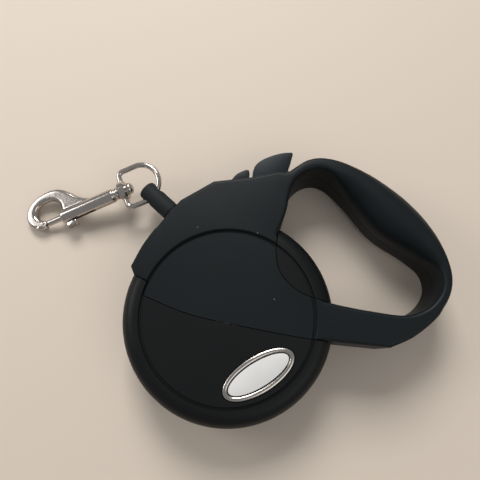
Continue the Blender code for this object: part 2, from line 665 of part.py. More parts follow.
def make_reel(plastic, steel, cord):
    """Build the spool, its winding, the mainspring and its cover."""
    low, high = SPOOL_Z
    hub_z = WALL + BOSS_HEIGHT + WASHER_THICKNESS + 2 * GAP
    web_z = low + FLANGE_THICKNESS
    front_z = high - FLANGE_THICKNESS
    drum_in = DRUM_R - DRUM_WALL
    spool = turned("spool", [
        (DRUM_R, high), (DRUM_R, web_z), (FLANGE_R, web_z), (FLANGE_R, low), (BOSS_R, low),
        (BOSS_R, hub_z), (SPOOL_BORE_R, hub_z), (SPOOL_BORE_R, web_z), (drum_in, web_z),
        (drum_in, high)], 72)
    toothed = prism("teeth", [tooth_outline()], front_z, high)
    inside = rod("inside", DRUM_R - DRUM_WALL / 2, front_z - MM, high + MM, None, 72)
    part(join(spool, cut(toothed, inside)), "cord_spool", plastic)
    washer_z = FRONT_PANEL_Z - BOSS_HEIGHT - WASHER_THICKNESS - 2 * GAP
    cover_z = high - COVER_THICKNESS
    cover = turned("cover", [
        (BOSS_R, washer_z), (BOSS_R, high), (drum_in - RUN_GAP, high), (drum_in - RUN_GAP, cover_z),
        (SPOOL_BORE_R, cover_z), (SPOOL_BORE_R, washer_z)], 72)
    part(cover, "spring_cover", plastic)
    winding = pipe("winding", DRUM_R + GAP, WINDING_R, web_z + GAP, front_z - GAP, None, 72)
    part(winding, "cord_winding", cord)
    steps = 24
    count = SPRING_TURNS * steps
    start_r, end_r = AXLE_R + 2 * GAP, drum_in - 2 * GAP
    bm = bmesh.new()
    rows = []
    for k in range(count + 1):
        radius = start_r + (end_r - start_r) * k / count
        angle = math.tau * k / steps
        x, y = radius * math.cos(angle), radius * math.sin(angle)
        rows.append([bm.verts.new((x, y, z)) for z in (web_z + GAP, cover_z - GAP)])
    for first, second in zip(rows, rows[1:]):
        bm.faces.new((first[0], second[0], second[1], first[1]))
    mesh = bpy.data.meshes.new("mainspring")
    bm.to_mesh(mesh)
    bm.free()
    strip = bpy.data.objects.new("mainspring", mesh)
    CUTTERS.objects.link(strip)
    solid = strip.modifiers.new("strip", "SOLIDIFY")
    solid.thickness = SPRING_STRIP
    solid.offset = 0.0
    part(add_mesh("mainspring", baked(strip)), "mainspring", steel)


# ---- Leash end -----------------------------------------------------------------------
def ring_axes():
    """Return the swivel ring's matrix: X along the snap, Y along its flat side."""
    side = Vector((SNAP_HEADING.y, -SNAP_HEADING.x, 0.0))
    eye = OUTLET_MOUTH + OUTLET_DIRECTION * (SLEEVE_OUT - EYE_FROM_TIP)
    across = Vector((OUTLET_DIRECTION.y, -OUTLET_DIRECTION.x, 0.0))
    along_side = across.dot(side)
    bow_angle = math.acos(min(1.0, abs(along_side)))
    eye_n = RING_SIDE + RING_HALF_WIDTH * math.cos(bow_angle)
    eye_t = RING_HALF_WIDTH * math.sin(bow_angle)
    drop = eye.z - HOOK_THICKNESS / 2 - GAP
    tilt = math.asin(drop / (eye_n + HOOK_REACH))
    x_axis = SNAP_HEADING * math.cos(tilt) + Vector((0, 0, -math.sin(tilt)))
    origin = eye + x_axis * eye_n + side * eye_t
    z_axis = x_axis.cross(side)
    turn = Matrix((x_axis, side, z_axis)).transposed().to_4x4()
    wire_axis = x_axis * (-math.sin(bow_angle)) + side * math.cos(bow_angle)
    return Matrix.Translation(origin) @ turn, eye, wire_axis


RING, EYE, EYE_AXIS = ring_axes()


def make_leash_end(rubber, cord, brass):
    """Build the rubber sleeve, the cord's free lead and its ferrule."""
    eye_s = SLEEVE_OUT - EYE_FROM_TIP
    nose = 0.9 * MM
    sleeve = turned("sleeve", [
        (0.0, SLEEVE_OUT), (SLEEVE_R - nose, SLEEVE_OUT), (SLEEVE_R, SLEEVE_OUT - nose),
        (SLEEVE_R, -SLEEVE_IN), (0.0, -SLEEVE_IN)], 40, OUTLET)
    chamber_end = eye_s - WIRE_R - 1.4 * MM
    chamber_start = chamber_end - FERRULE_LENGTH - 2 * GAP
    chamber_r = CORD_R + 1.5 * MM
    passage = turned("passage", [
        (0.0, chamber_end), (chamber_r, chamber_end), (chamber_r, chamber_start),
        (CORD_R + GAP, chamber_start), (CORD_R + GAP, -SLEEVE_IN - MM), (0.0, -SLEEVE_IN - MM)],
        32, OUTLET)
    flare = []
    reach = SLEEVE_R + 0.5 * MM
    count = 8
    for k in range(count + 1):
        place = reach - 2 * reach * k / count
        sag = RING_HALF_WIDTH - math.sqrt(RING_HALF_WIDTH**2 - place**2)
        flare.append((WIRE_R + GAP + sag, place))
    eyelet = turned("eyelet", [(0.0, reach), *flare, (0.0, -reach)], 24, along(EYE, EYE_AXIS))
    part(cut(sleeve, passage, eyelet), "end_sleeve", rubber)
    ferrule_end = chamber_end - GAP
    ferrule = pipe("ferrule", CORD_R + GAP, chamber_r - GAP, ferrule_end - FERRULE_LENGTH, ferrule_end,
                   OUTLET, 24)
    part(ferrule, "cord_ferrule", brass)
    end = OUTLET_MOUTH + OUTLET_DIRECTION * (ferrule_end - GAP)
    straight = OUTLET_MOUTH + OUTLET_DIRECTION * BUSH_START
    first = LEAD_START
    route = [first.lerp(LEAD_BEND, k / 8) for k in range(8)]
    route += [LEAD_BEND.lerp(first, 0.04), LEAD_BEND.lerp(straight, 0.5)]
    route += [straight.lerp(end, k / 6) for k in range(7)]
    part(wire("lead", route, CORD_R), "cord_lead", cord)


def make_ring(metal):
    """Build the stirrup-shaped swivel ring with its eye."""
    half, corner = RING_HALF_WIDTH, RING_CORNER_R
    flat = []
    for sign in (-1, 1):
        for k in range(5):
            angle = math.pi / 8 * (k if sign > 0 else k - 4)
            flat.append((corner * (math.cos(angle) - 1),
                         sign * (half - corner) + corner * math.sin(angle), 0.0))
    bow = [(-RING_SIDE - half * math.sin(math.pi * k / 20), half * math.cos(math.pi * k / 20), 0.0)
           for k in range(21)]
    body = wire("ring", flat + bow, WIRE_R, True, 3, RING)
    out = RING @ Matrix.Rotation(math.pi / 2, 4, "Y")
    half_eye = RING_EYE_LENGTH / 2
    body = join(body, rod("eye", RING_EYE_R, -half_eye, half_eye, out, 32))
    body = cut(body, rod("eye_bore", POST_R + RUN_GAP, -half_eye - MM, half_eye + MM, out, 32))
    part(body, "swivel_ring", metal)


def make_snap(metal, steel):
    """Build the snap hook, its swivel post, and the sprung bolt with its stud."""
    barrel_axis = RING @ Matrix.Rotation(math.pi / 2, 4, "Y")
    head_low = -RING_EYE_LENGTH / 2 - GAP - POST_HEAD_LENGTH
    head_high = head_low + POST_HEAD_LENGTH
    dome = 0.9 * MM
    post = turned("post", [
        (0.0, POST_LENGTH), (POST_R, POST_LENGTH), (POST_R, head_high), (POST_HEAD_R, head_high),
        (POST_HEAD_R, head_low + dome), (POST_HEAD_R - dome, head_low), (0.0, head_low)],
        32, barrel_axis)
    part(post, "swivel_post", metal)
    hook = turned("hook", [
        (0.0, BARREL_END), (BARREL_R, BARREL_END), (BARREL_R, BARREL_START), (COLLAR_R, BARREL_START),
        (COLLAR_R, COLLAR_START), (0.0, COLLAR_START)], 32, barrel_axis)
    line = smooth_outline(HOOK_OUTLINE, 4)
    plate = prism("plate", [line], -HOOK_THICKNESS / 2, HOOK_THICKNESS / 2)
    plate = add_mesh("hook_plate", plate.data, RING)
    bolt_bore_start = POST_LENGTH + 2.4 * MM
    post_bore = rod("post_bore", POST_R + GAP, COLLAR_START - MM, POST_LENGTH + GAP, barrel_axis)
    bolt_bore = rod("bolt_bore", BOLT_R + GAP, bolt_bore_start, BARREL_END + 0.4 * MM, barrel_axis)
    slot_half = STUD_PIN_R + GAP
    slot = block("slot", (STUD_CENTRE - BOLT_TRAVEL - STUD_LENGTH, -2 * BARREL_R, -slot_half),
                 (STUD_CENTRE + slot_half, 0.0, slot_half), RING)
    part(cut(join(hook, plate), post_bore, bolt_bore, slot), "snap_hook", metal)
    part(rod("bolt", BOLT_R, BOLT_START, BOLT_END, barrel_axis), "snap_bolt", steel)
    knob_low, knob_high = -BARREL_R - 3.0 * MM, -BARREL_R - GAP
    knob = block("knob", (STUD_CENTRE - STUD_LENGTH / 2, knob_low, -1.5 * MM),
                 (STUD_CENTRE + STUD_LENGTH / 2, knob_high, 1.5 * MM), RING)
    pin_axis = RING @ Matrix.Translation((STUD_CENTRE, 0.0, 0.0)) @ Matrix.Rotation(math.pi / 2, 4, "X")
    pin = rod("pin", STUD_PIN_R, BOLT_R + GAP, -knob_high + MM, pin_axis, 16)
    part(join(knob, pin), "bolt_stud", steel)
    spring_r = 0.25 * MM
    points = coil(bolt_bore_start + GAP + spring_r, BOLT_START - GAP - spring_r,
                  BOLT_R - spring_r, BOLT_SPRING_TURNS)
    part(wire("bolt_spring", points, spring_r, False, 1, barrel_axis), "bolt_spring", steel)


# ---- Brake and lock ------------------------------------------------------------------
def make_controls(plastic, steel):
    """Build the brake button with its pawl, its spring, and the lock slider."""
    low, high = BUTTON_Z
    tongue_z = MID_Z - GAP
    tongue_y = (ARM_Y[0] - GAP - TONGUE_THICKNESS, ARM_Y[0] - GAP)
    arm_top = tongue_z - RUN_GAP
    lap = GAP
    button = prism("button", [smooth_outline(FIN_OUTLINE)], low, high)
    stem = block("stem", (STEM_X[0], STEM_FOOT, STEM_Z[0]), (STEM_X[1], STEM_TOP, STEM_Z[1]))
    arm = block("arm", (ARM_X[0], ARM_Y[0], low), (ARM_X[1], ARM_Y[1], arm_top))
    tip = block("tip", (ARM_X[0], ARM_Y[0], arm_top - lap),
                (ARM_X[0] + TIP_LENGTH, ARM_Y[1], SHANK_Z[0] - GAP))
    part(join(button, stem, join(arm, tip)), "brake_button", plastic)
    spring_r = BRAKE_SPRING_WIRE_R
    axis = along(Vector((BRAKE_SPRING_X, BRAKE_SPRING_Y, MID_Z)), (0, 1, 0))
    length = FIN_OUTLINE[0][1] * MM - BRAKE_SPRING_Y - GAP - spring_r
    points = coil(GAP + spring_r, length - GAP, BRAKE_SPRING_R - spring_r, BRAKE_SPRING_TURNS)
    part(wire("brake_spring", points, spring_r, False, 2, axis), "brake_spring", steel)
    pad = prism("pad", [smooth_outline(LOCK_OUTLINE)], low, high)
    shank = block("shank", (SHANK_X[0], tongue_y[0], SHANK_Z[0]), (SHANK_X[1], SHANK_TOP, high))
    tongue = block("tongue", (SHANK_X[0], tongue_y[0], tongue_z), (SHANK_X[1], tongue_y[1], SHANK_Z[0] + GAP))
    part(join(pad, join(shank, tongue)), "lock_slider", plastic)


def main():
    """Build every sub-part."""
    plastic = material("black_plastic", (0.018, 0.021, 0.024), 0.5)
    reel_plastic = material("reel_plastic", (0.02, 0.02, 0.02), 0.55)
    steel = material("spring_steel", (0.55, 0.55, 0.55), 0.3, 1.0)
    brass = material("brass", (0.6, 0.45, 0.2), 0.35, 1.0)
    nickel = material("satin_nickel", (0.6, 0.57, 0.53), 0.25, 1.0)
    rubber = material("black_rubber", (0.012, 0.012, 0.012), 0.7)
    cord = material("black_cord", (0.02, 0.02, 0.02), 0.85)
    plain = material("plain_badge", (0.8, 0.8, 0.8), 0.4)
    make_case(plastic, steel, brass, nickel, plain)
    make_reel(reel_plastic, steel, cord)
    make_leash_end(rubber, cord, brass)
    make_ring(nickel)
    make_snap(nickel, steel)
    make_controls(plastic, steel)


main()
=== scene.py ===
"""Looks of a retractable cord leash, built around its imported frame."""

import json
import logging
import math
from dataclasses import dataclass, field
from enum import Enum

import bmesh
import bpy
from mathutils import Matrix, Vector


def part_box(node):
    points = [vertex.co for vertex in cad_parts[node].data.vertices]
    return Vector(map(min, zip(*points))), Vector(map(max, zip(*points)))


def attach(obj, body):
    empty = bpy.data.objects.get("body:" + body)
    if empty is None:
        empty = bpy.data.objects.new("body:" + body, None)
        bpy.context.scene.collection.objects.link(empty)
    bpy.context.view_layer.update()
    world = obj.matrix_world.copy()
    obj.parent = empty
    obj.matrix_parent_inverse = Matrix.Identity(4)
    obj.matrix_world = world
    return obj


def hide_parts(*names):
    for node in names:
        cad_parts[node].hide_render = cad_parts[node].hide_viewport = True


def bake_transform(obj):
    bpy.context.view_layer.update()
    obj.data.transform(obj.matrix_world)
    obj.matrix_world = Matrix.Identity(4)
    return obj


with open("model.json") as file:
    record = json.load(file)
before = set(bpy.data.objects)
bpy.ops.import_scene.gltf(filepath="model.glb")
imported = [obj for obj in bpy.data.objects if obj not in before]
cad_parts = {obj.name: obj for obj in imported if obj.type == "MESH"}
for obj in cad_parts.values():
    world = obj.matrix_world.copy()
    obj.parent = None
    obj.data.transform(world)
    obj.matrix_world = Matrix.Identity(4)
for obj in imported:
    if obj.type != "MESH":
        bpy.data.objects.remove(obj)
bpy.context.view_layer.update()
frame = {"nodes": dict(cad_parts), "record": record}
LOG = logging.getLogger("leash")
MM = 0.001
Point = tuple[float, float, bool]  # x and y in millimetres, and whether it is a corner
Triple = tuple[float, float, float]
Solid = bpy.types.Object


# ---- Shader tools ----
MIX_FACTOR, MIX_FIRST, MIX_SECOND, MIX_RESULT = 0, 6, 7, 2  # Sockets of a Mix node for colours


class Signal:
    """A shader socket that takes part in Python expressions."""

    def __init__(self, book: "Shader", socket: bpy.types.NodeSocket) -> None:
        """Keep the socket and the shader it belongs to."""
        self.book = book
        self.socket = socket

    def _maths(self, operation: str, other: object) -> "Signal":
        """Return a Math node's result on this signal and a value or signal."""
        return self.book.node("ShaderNodeMath", {"operation": operation}, {0: self, 1: other})

    def __add__(self, other: object) -> "Signal":
        """Return the sum."""
        return self._maths("ADD", other)

    def __mul__(self, other: object) -> "Signal":
        """Return the product."""
        return self._maths("MULTIPLY", other)

    def __gt__(self, other: object) -> "Signal":
        """Return 1 where this is greater."""
        return self._maths("GREATER_THAN", other)

    def __lt__(self, other: object) -> "Signal":
        """Return 1 where this is less."""
        return self._maths("LESS_THAN", other)


class Shader:
    """A material's node tree around one Principled shader."""

    def __init__(self, name: str) -> None:
        """Make the material of this name."""
        self.material = bpy.data.materials.new(name)
        self.material.use_nodes = True
        self.tree = self.material.node_tree
        self.surface = self.tree.nodes["Principled BSDF"]

    def node(self, kind: str, settings: dict, values: dict, output: object = 0) -> Signal:
        """Add a node, set its properties, feed its inputs and return one of its outputs."""
        made = self.tree.nodes.new(kind)
        for key, value in settings.items():
            setattr(made, key, value)
        for key, value in values.items():
            self.feed(made.inputs[key], value)
        return Signal(self, made.outputs[output])

    def feed(self, socket: bpy.types.NodeSocket, value: object) -> None:
        """Link a Signal to a socket, or set its value."""
        if isinstance(value, Signal):
            self.tree.links.new(value.socket, socket)
        else:
            socket.default_value = value

    def set(self, **values: object) -> None:
        """Feed sockets of the Principled shader, with _ for a space in their names."""
        for key, value in values.items():
            self.feed(self.surface.inputs[key.replace("_", " ")], value)

    def place(self, stretch: Triple = (1.0, 1.0, 1.0)) -> Signal:
        """Return Object coordinates, stretched along the axes."""
        spot = self.node("ShaderNodeTexCoord", {}, {}, "Object")
        return self.node("ShaderNodeMapping", {}, {"Vector": spot, "Scale": stretch})

    def noise(self, at: Signal, size: float, detail: float = 3.0) -> Signal:
        """Return noise whose features are about size metres across."""
        return self.node("ShaderNodeTexNoise", {}, {"Vector": at, "Scale": 1.0 / size, "Detail": detail})

    def mix(self, factor: Signal, first: object, second: object) -> Signal:
        """Return a colour between two colours or signals."""
        values = {MIX_FACTOR: factor, MIX_FIRST: first, MIX_SECOND: second}
        return self.node("ShaderNodeMix", {"data_type": "RGBA"}, values, MIX_RESULT)

    def bump(self, height: Signal, strength: float, depth: float) -> Signal:
        """Return a bumped normal."""
        return self.node("ShaderNodeBump", {}, {"Height": height, "Strength": strength, "Distance": depth},
                         "Normal")


def rgba(colour: Triple, scale: float = 1.0) -> tuple[float, float, float, float]:
    """Return a colour with alpha, its channels scaled."""
    return (colour[0] * scale, colour[1] * scale, colour[2] * scale, 1.0)


# ---- Finishes ----
SCUFF_LEVEL = 0.66  # Noise above this level is a scuff
RUB_LEVEL = 0.62  # Noise above this level is a rubbing mark
DUST_CELLS = 160.0  # Cells per metre that may hold a speck of dust
DUST_LEVEL = 0.93  # Only cells above this level hold one
DUST_SIZE = 0.045  # A speck's radius as a share of its cell
DUST_COLOUR = (0.45, 0.44, 0.42)


@dataclass(frozen=True)
class MouldedPlastic:
    """Fine-grained moulded plastic with faint scuffs and a little dust.

    Attributes:
        roughness: Mean roughness.
        grain: Size of the moulded grain in metres.
        relief: Strength of the grain.
        dust: How much of the dust shows, 0 to 1.
        gloss: Strength of the reflection.
    """

    name: str
    colour: Triple
    roughness: float = 0.5
    grain: float = 0.00035
    relief: float = 0.12
    dust: float = 0.25
    gloss: float = 0.15

    def material(self) -> bpy.types.Material:
        """Return the finished material."""
        made = Shader(self.name)
        at = made.place()
        grain = made.noise(at, self.grain, 2.0)
        broad = made.noise(at, 0.03, 4.0)
        scuff = made.noise(made.place((1.0, 7.0, 3.0)), 0.004, 5.0)
        scuffed = (scuff > SCUFF_LEVEL) * 0.05
        base = made.mix(broad, rgba(self.colour, 0.85), rgba(self.colour, 1.2))
        cells = {"Vector": at, "Scale": DUST_CELLS}
        spot = made.node("ShaderNodeTexVoronoi", {}, cells, "Distance")
        pick = made.node("ShaderNodeTexVoronoi", {}, cells, "Color")
        chosen = made.node("ShaderNodeSeparateColor", {}, {"Color": pick}, "Red") > DUST_LEVEL
        speck = (spot < DUST_SIZE) * chosen * self.dust
        lint = made.mix(speck, base, rgba(DUST_COLOUR))
        made.set(Base_Color=lint, Roughness=broad * 0.08 + scuffed + grain * 0.05 + (self.roughness - 0.08),
                 Normal=made.bump(grain, self.relief, 0.0001), Specular_IOR_Level=self.gloss)
        return made.material


@dataclass(frozen=True)
class PlatedMetal:
    """Plated metal with fine rubbing marks and soft unevenness of the casting.

    Attributes:
        roughness: Mean roughness.
        uneven: Strength of the casting's unevenness.
    """

    name: str
    colour: Triple
    roughness: float = 0.22
    uneven: float = 0.08

    def material(self) -> bpy.types.Material:
        """Return the finished material."""
        made = Shader(self.name)
        at = made.place()
        cloud = made.noise(at, 0.004, 4.0)
        rub = made.noise(made.place((1.0, 14.0, 4.0)), 0.003, 6.0)
        tone = made.mix(cloud, rgba(self.colour, 0.94), rgba(self.colour, 1.05))
        mark = (rub > RUB_LEVEL) * 0.05
        height = made.noise(at, 0.0016, 2.0) + rub * 0.4
        made.set(Base_Color=tone, Metallic=1.0, Roughness=cloud * 0.12 + mark + (self.roughness - 0.06),
                 Normal=made.bump(height, self.uneven, 0.0002))
        return made.material


@dataclass(frozen=True)
class MattRubber:
    """Matt moulded rubber."""

    name: str
    colour: Triple

    def material(self) -> bpy.types.Material:
        """Return the finished material."""
        made = Shader(self.name)
        at = made.place()
        grain = made.noise(at, 0.0005, 3.0)
        bloom = made.noise(at, 0.006, 4.0)
        base = made.mix(bloom * 0.6, rgba(self.colour), rgba(self.colour, 1.9))
        made.set(Base_Color=base, Roughness=bloom * 0.15 + 0.6, Normal=made.bump(grain, 0.25, 0.0001),
                 Specular_IOR_Level=0.25)
        return made.material


@dataclass(frozen=True)
class BraidedCord:
    """Tightly braided cord.

    Attributes:
        strand: Width of a strand in metres.
    """

    name: str
    colour: Triple
    strand: float = 0.0006

    def material(self) -> bpy.types.Material:
        """Return the finished material."""
        made = Shader(self.name)
        at = made.place()
        bands = [
            made.node("ShaderNodeTexWave", {"bands_direction": way},
                      {"Vector": at, "Scale": 0.3 / self.strand, "Distortion": 1.5})
            for way in ("DIAGONAL", "Z")
        ]
        weave = bands[0] * bands[1]
        made.set(Base_Color=made.mix(weave, rgba(self.colour, 0.6), rgba(self.colour, 1.8)), Roughness=0.85,
                 Normal=made.bump(weave, 0.5, 0.0003))
        return made.material


class Finish(Enum):
    """The finishes of the leash."""

    CASE = MouldedPlastic("case_plastic", (0.0058, 0.0082, 0.0092), 0.46)
    # The case plastic again, darker and greyer: painted shade on the round reel case.
    LOWER = MouldedPlastic("case_plastic_painted_shade", (0.0052, 0.0056, 0.0058), 0.44)
    BUTTON = MouldedPlastic("button_plastic", (0.0075, 0.0115, 0.0135), 0.42, 0.0003, 0.1, 0.1, 0.16)
    INNER = MouldedPlastic("reel_plastic", (0.03, 0.03, 0.03), 0.5, 0.0005, 0.1, 0.0)
    BADGE = MouldedPlastic("badge_plain", (0.62, 0.61, 0.59), 0.3, 0.0008, 0.03, 0.0)
    NICKEL = PlatedMetal("satin_nickel", (0.50, 0.455, 0.415), 0.17, 0.02)
    CHROME = PlatedMetal("chrome_trim", (0.50, 0.46, 0.42), 0.2, 0.01)
    STEEL = PlatedMetal("steel", (0.5, 0.5, 0.5), 0.32)
    BRASS = PlatedMetal("brass", (0.6, 0.44, 0.2), 0.32)
    RUBBER = MattRubber("sleeve_rubber", (0.0055, 0.0075, 0.0078))
    CORD = BraidedCord("cord", (0.02, 0.02, 0.02))


MATERIALS: dict[Finish, bpy.types.Material] = {finish: finish.value.material() for finish in Finish}
SLOTS = {finish: finish.value.name for finish in Finish}
# The copy with painted shade is the same case plastic.
SLOTS |= {Finish.LOWER: "case_plastic", Finish.NICKEL: "nickel"}


# ---- Geometry tools ----
WELD = 1e-6  # Vertices nearer than this are one
BEVEL_ANGLE = math.radians(40)  # Edges sharper than this are rounded
SHARP_ANGLE = math.radians(32)  # Edges sharper than this aren't shaded smooth


def mm(*values: float) -> tuple[float, ...]:
    """Return lengths given in millimetres in metres."""
    return tuple(value * MM for value in values)


def link(name: str, data: bpy.types.ID) -> Solid:
    """Return a new object of some data, linked to the scene."""
    made = bpy.data.objects.new(name, data)
    bpy.context.scene.collection.objects.link(made)
    return made


def from_bmesh(name: str, shape: bmesh.types.BMesh, matrix: Matrix | None = None) -> Solid:
    """Weld a bmesh, point its faces outwards, place it, free it and return it as an object."""
    bmesh.ops.remove_doubles(shape, verts=shape.verts, dist=WELD)
    bmesh.ops.recalc_face_normals(shape, faces=shape.faces)
    if matrix is not None:
        shape.transform(matrix)
    mesh = bpy.data.meshes.new(name)
    shape.to_mesh(mesh)
    shape.free()
    return link(name, mesh)


def settle(obj: Solid) -> Solid:
    """Apply an object's modifiers and placement, and return the plain mesh object."""
    bpy.context.view_layer.update()
    graph = bpy.context.evaluated_depsgraph_get()
    mesh = bpy.data.meshes.new_from_object(obj.evaluated_get(graph), depsgraph=graph)
    mesh.transform(obj.matrix_world)
    name = obj.name
    bpy.data.objects.remove(obj, do_unlink=True)
    mesh.name = name
    return link(name, mesh)


def combine(obj: Solid, operation: str, *tools: Solid) -> Solid:
    """Combine an object with closed tools by Booleans, using them up."""
    name = obj.name
    for tool in tools:
        for solver in ("MANIFOLD", "EXACT"):
            made = link(name, obj.data.copy())
            step = made.modifiers.new("step", "BOOLEAN")
            step.operation, step.solver, step.object = operation, solver, tool
            made = settle(made)
            if made.data.polygons:
                break
            LOG.warning("%s: the %s solver left nothing", name, solver)
            bpy.data.objects.remove(made, do_unlink=True)
        else:
            raise RuntimeError(f"{name}: nothing is left by {operation} with {tool.name}")
        bpy.data.objects.remove(obj, do_unlink=True)
        bpy.data.objects.remove(tool, do_unlink=True)
        made.name = name
        obj = made
    return obj


def rounded(obj: Solid, width: float, segments: int = 3,
            clamp: bool = True) -> Solid:
    """Round an object's sharp edges, as far as they allow where clamp is set."""
    bevel = obj.modifiers.new("round", "BEVEL")
    bevel.width = width
    bevel.segments = segments
    bevel.limit_method = "ANGLE"
    bevel.angle_limit = BEVEL_ANGLE
    bevel.use_clamp_overlap = clamp
    return settle(obj)


def finished(obj: Solid, finish: Finish, body: str, *nodes: str) -> Solid:
    """Dress a placed piece, make it ride on its body, if it has one, and replace its CAD nodes."""
    obj.data.materials.clear()
    obj.data.materials.append(MATERIALS[finish])
    for polygon in obj.data.polygons:
        polygon.material_index = 0
    obj.data.shade_smooth()
    obj.data.set_sharp_from_angle(angle=SHARP_ANGLE)
    if body:
        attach(obj, body)
    if nodes:
        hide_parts(*nodes)
    LOG.info("%s: %d faces", obj.name, len(obj.data.polygons))
    return obj


def smooth_outline(points: tuple[Point, ...], steps: int = 10) -> list[Vector]:
    """Return a closed polyline in metres through (x, y, corner) points in millimetres."""
    line = []
    count = len(points)
    for i in range(count):
        before, start, end, after = (points[(i + k) % count] for k in (-1, 0, 1, 2))
        p1, p2 = Vector(start[:2]), Vector(end[:2])
        p0 = p1 * 2 - p2 if start[2] else Vector(before[:2])
        p3 = p2 * 2 - p1 if end[2] else Vector(after[:2])
        span = (p2 - p1).length
        m1 = (p2 - p0) * span / ((p2 - p1).length + (p1 - p0).length)
        m2 = (p3 - p1) * span / ((p3 - p2).length + (p2 - p1).length)
        for k in range(steps):
            t = k / steps
            spot = (p1 * (2 * t**3 - 3 * t**2 + 1) + m1 * (t**3 - 2 * t**2 + t)
                    + p2 * (3 * t**2 - 2 * t**3) + m2 * (t**3 - t**2))
            line.append(spot * MM)
    return line


def bridge(shape: bmesh.types.BMesh, lower: list, upper: list) -> None:
    """Join two closed rings of vertices by quads."""
    for i, a in enumerate(lower):
        j = (i + 1) % len(lower)
        shape.faces.new((a, lower[j], upper[j], upper[i]))


def inward_normals(line: list[Vector]) -> list[Vector]:
    """Return the unit normals of a closed polyline, pointing inside."""
    area = sum(a.x * b.y - b.x * a.y for a, b in zip(line, line[1:] + line[:1]))
    turn = 1.0 if area > 0 else -1.0
    normals = []
    for before, here, after in zip(line[-1:] + line[:-1], line, line[1:] + line[:1]):
        way = (here - before).normalized() + (after - here).normalized()
        normals.append(Vector((-way.y, way.x)).normalized() * turn)
    return normals


def loop_edges(shape: bmesh.types.BMesh, ring: list[bmesh.types.BMVert]) -> list[bmesh.types.BMEdge]:
    """Return the edges round a closed ring of vertices, making those that don't exist."""
    return [shape.edges.get((a, b)) or shape.edges.new((a, b)) for a, b in zip(ring, ring[1:] + ring[:1])]


def prism(name: str, lines: list[list[Vector]], low: float, high: float) -> Solid:
    """Return an upright prism of an outline and its holes."""
    shape = bmesh.new()
    edges = []
    for line in lines:
        edges += loop_edges(shape, [shape.verts.new((p.x, p.y, low)) for p in line])
    faces = bmesh.ops.triangle_fill(shape, edges=edges, use_beauty=True)["geom"]
    faces = [f for f in faces if isinstance(f, bmesh.types.BMFace)]
    moved = bmesh.ops.extrude_face_region(shape, geom=faces)["geom"]
    bmesh.ops.translate(shape, verts=[v for v in moved if isinstance(v, bmesh.types.BMVert)],
                        vec=(0, 0, high - low))
    return from_bmesh(name, shape)


def turned(name: str, profile: list[tuple[float, float]], matrix: Matrix | None = None,
           steps: int = 96) -> Solid:
    """Spin a profile of (radius, height) points about Z. Closed unless it ends on the axis."""
    shape = bmesh.new()
    verts = [shape.verts.new((radius, 0.0, height)) for radius, height in profile]
    pairs = list(zip(verts, verts[1:]))
    if min(radius for radius, _ in profile) > 0:
        pairs.append((verts[-1], verts[0]))
    edges = [shape.edges.new(pair) for pair in pairs]
    bmesh.ops.spin(shape, geom=verts + edges, cent=(0, 0, 0), axis=(0, 0, 1), angle=math.tau,
                   steps=steps, use_merge=True)
    return from_bmesh(name, shape, matrix)


def rod(name: str, radius: float, low: float, high: float, matrix: Matrix | None = None,
        steps: int = 48) -> Solid:
    """Return a plain cylinder."""
    return turned(name, [(0.0, low), (radius, low), (radius, high), (0.0, high)], matrix, steps)


def block(name: str, low: tuple, high: tuple, matrix: Matrix | None = None) -> Solid:
    """Return a box between two corners."""
    shape = bmesh.new()
    bmesh.ops.create_cube(shape, size=1.0)
    bmesh.ops.scale(shape, vec=[b - a for a, b in zip(low, high)], verts=shape.verts)
    bmesh.ops.translate(shape, vec=[(a + b) / 2 for a, b in zip(low, high)], verts=shape.verts)
    return from_bmesh(name, shape, matrix)


def tube(name: str, points: list, radius: float, cyclic: bool = False, sides: int = 4,
         matrix: Matrix | None = None) -> Solid:
    """Return a round wire along points as a closed mesh."""
    curve = bpy.data.curves.new(name, "CURVE")
    curve.dimensions = "3D"
    curve.bevel_depth = radius
    curve.bevel_resolution = sides
    curve.use_fill_caps = not cyclic
    spline = curve.splines.new("POLY")
    spline.points.add(len(points) - 1)
    for point, here in zip(spline.points, points):
        point.co = (*here, 1.0)
    spline.use_cyclic_u = cyclic
    wire = settle(link(name, curve))
    shape = bmesh.new()
    shape.from_mesh(wire.data)
    bpy.data.objects.remove(wire, do_unlink=True)
    return from_bmesh(name, shape, matrix)


def along(origin: Vector, direction: Vector) -> Matrix:
    """Return the matrix whose Z axis is direction, at origin."""
    return Matrix.Translation(origin) @ direction.to_track_quat("Z", "Y").to_matrix().to_4x4()


def ease(low: float, high: float, value: float) -> float:
    """Return a smooth step from 0 at low to 1 at high."""
    t = max(0.0, min(1.0, (value - low) / (high - low)))
    return t * t * (3 - 2 * t)


def middle(node: str) -> Vector:
    """Return the centre of a CAD node's box."""
    low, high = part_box(node)
    return (low + high) / 2


def joint(name: str) -> dict:
    """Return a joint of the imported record."""
    return next(j for j in frame["record"]["behaviour"]["joints"] if j["name"] == name)


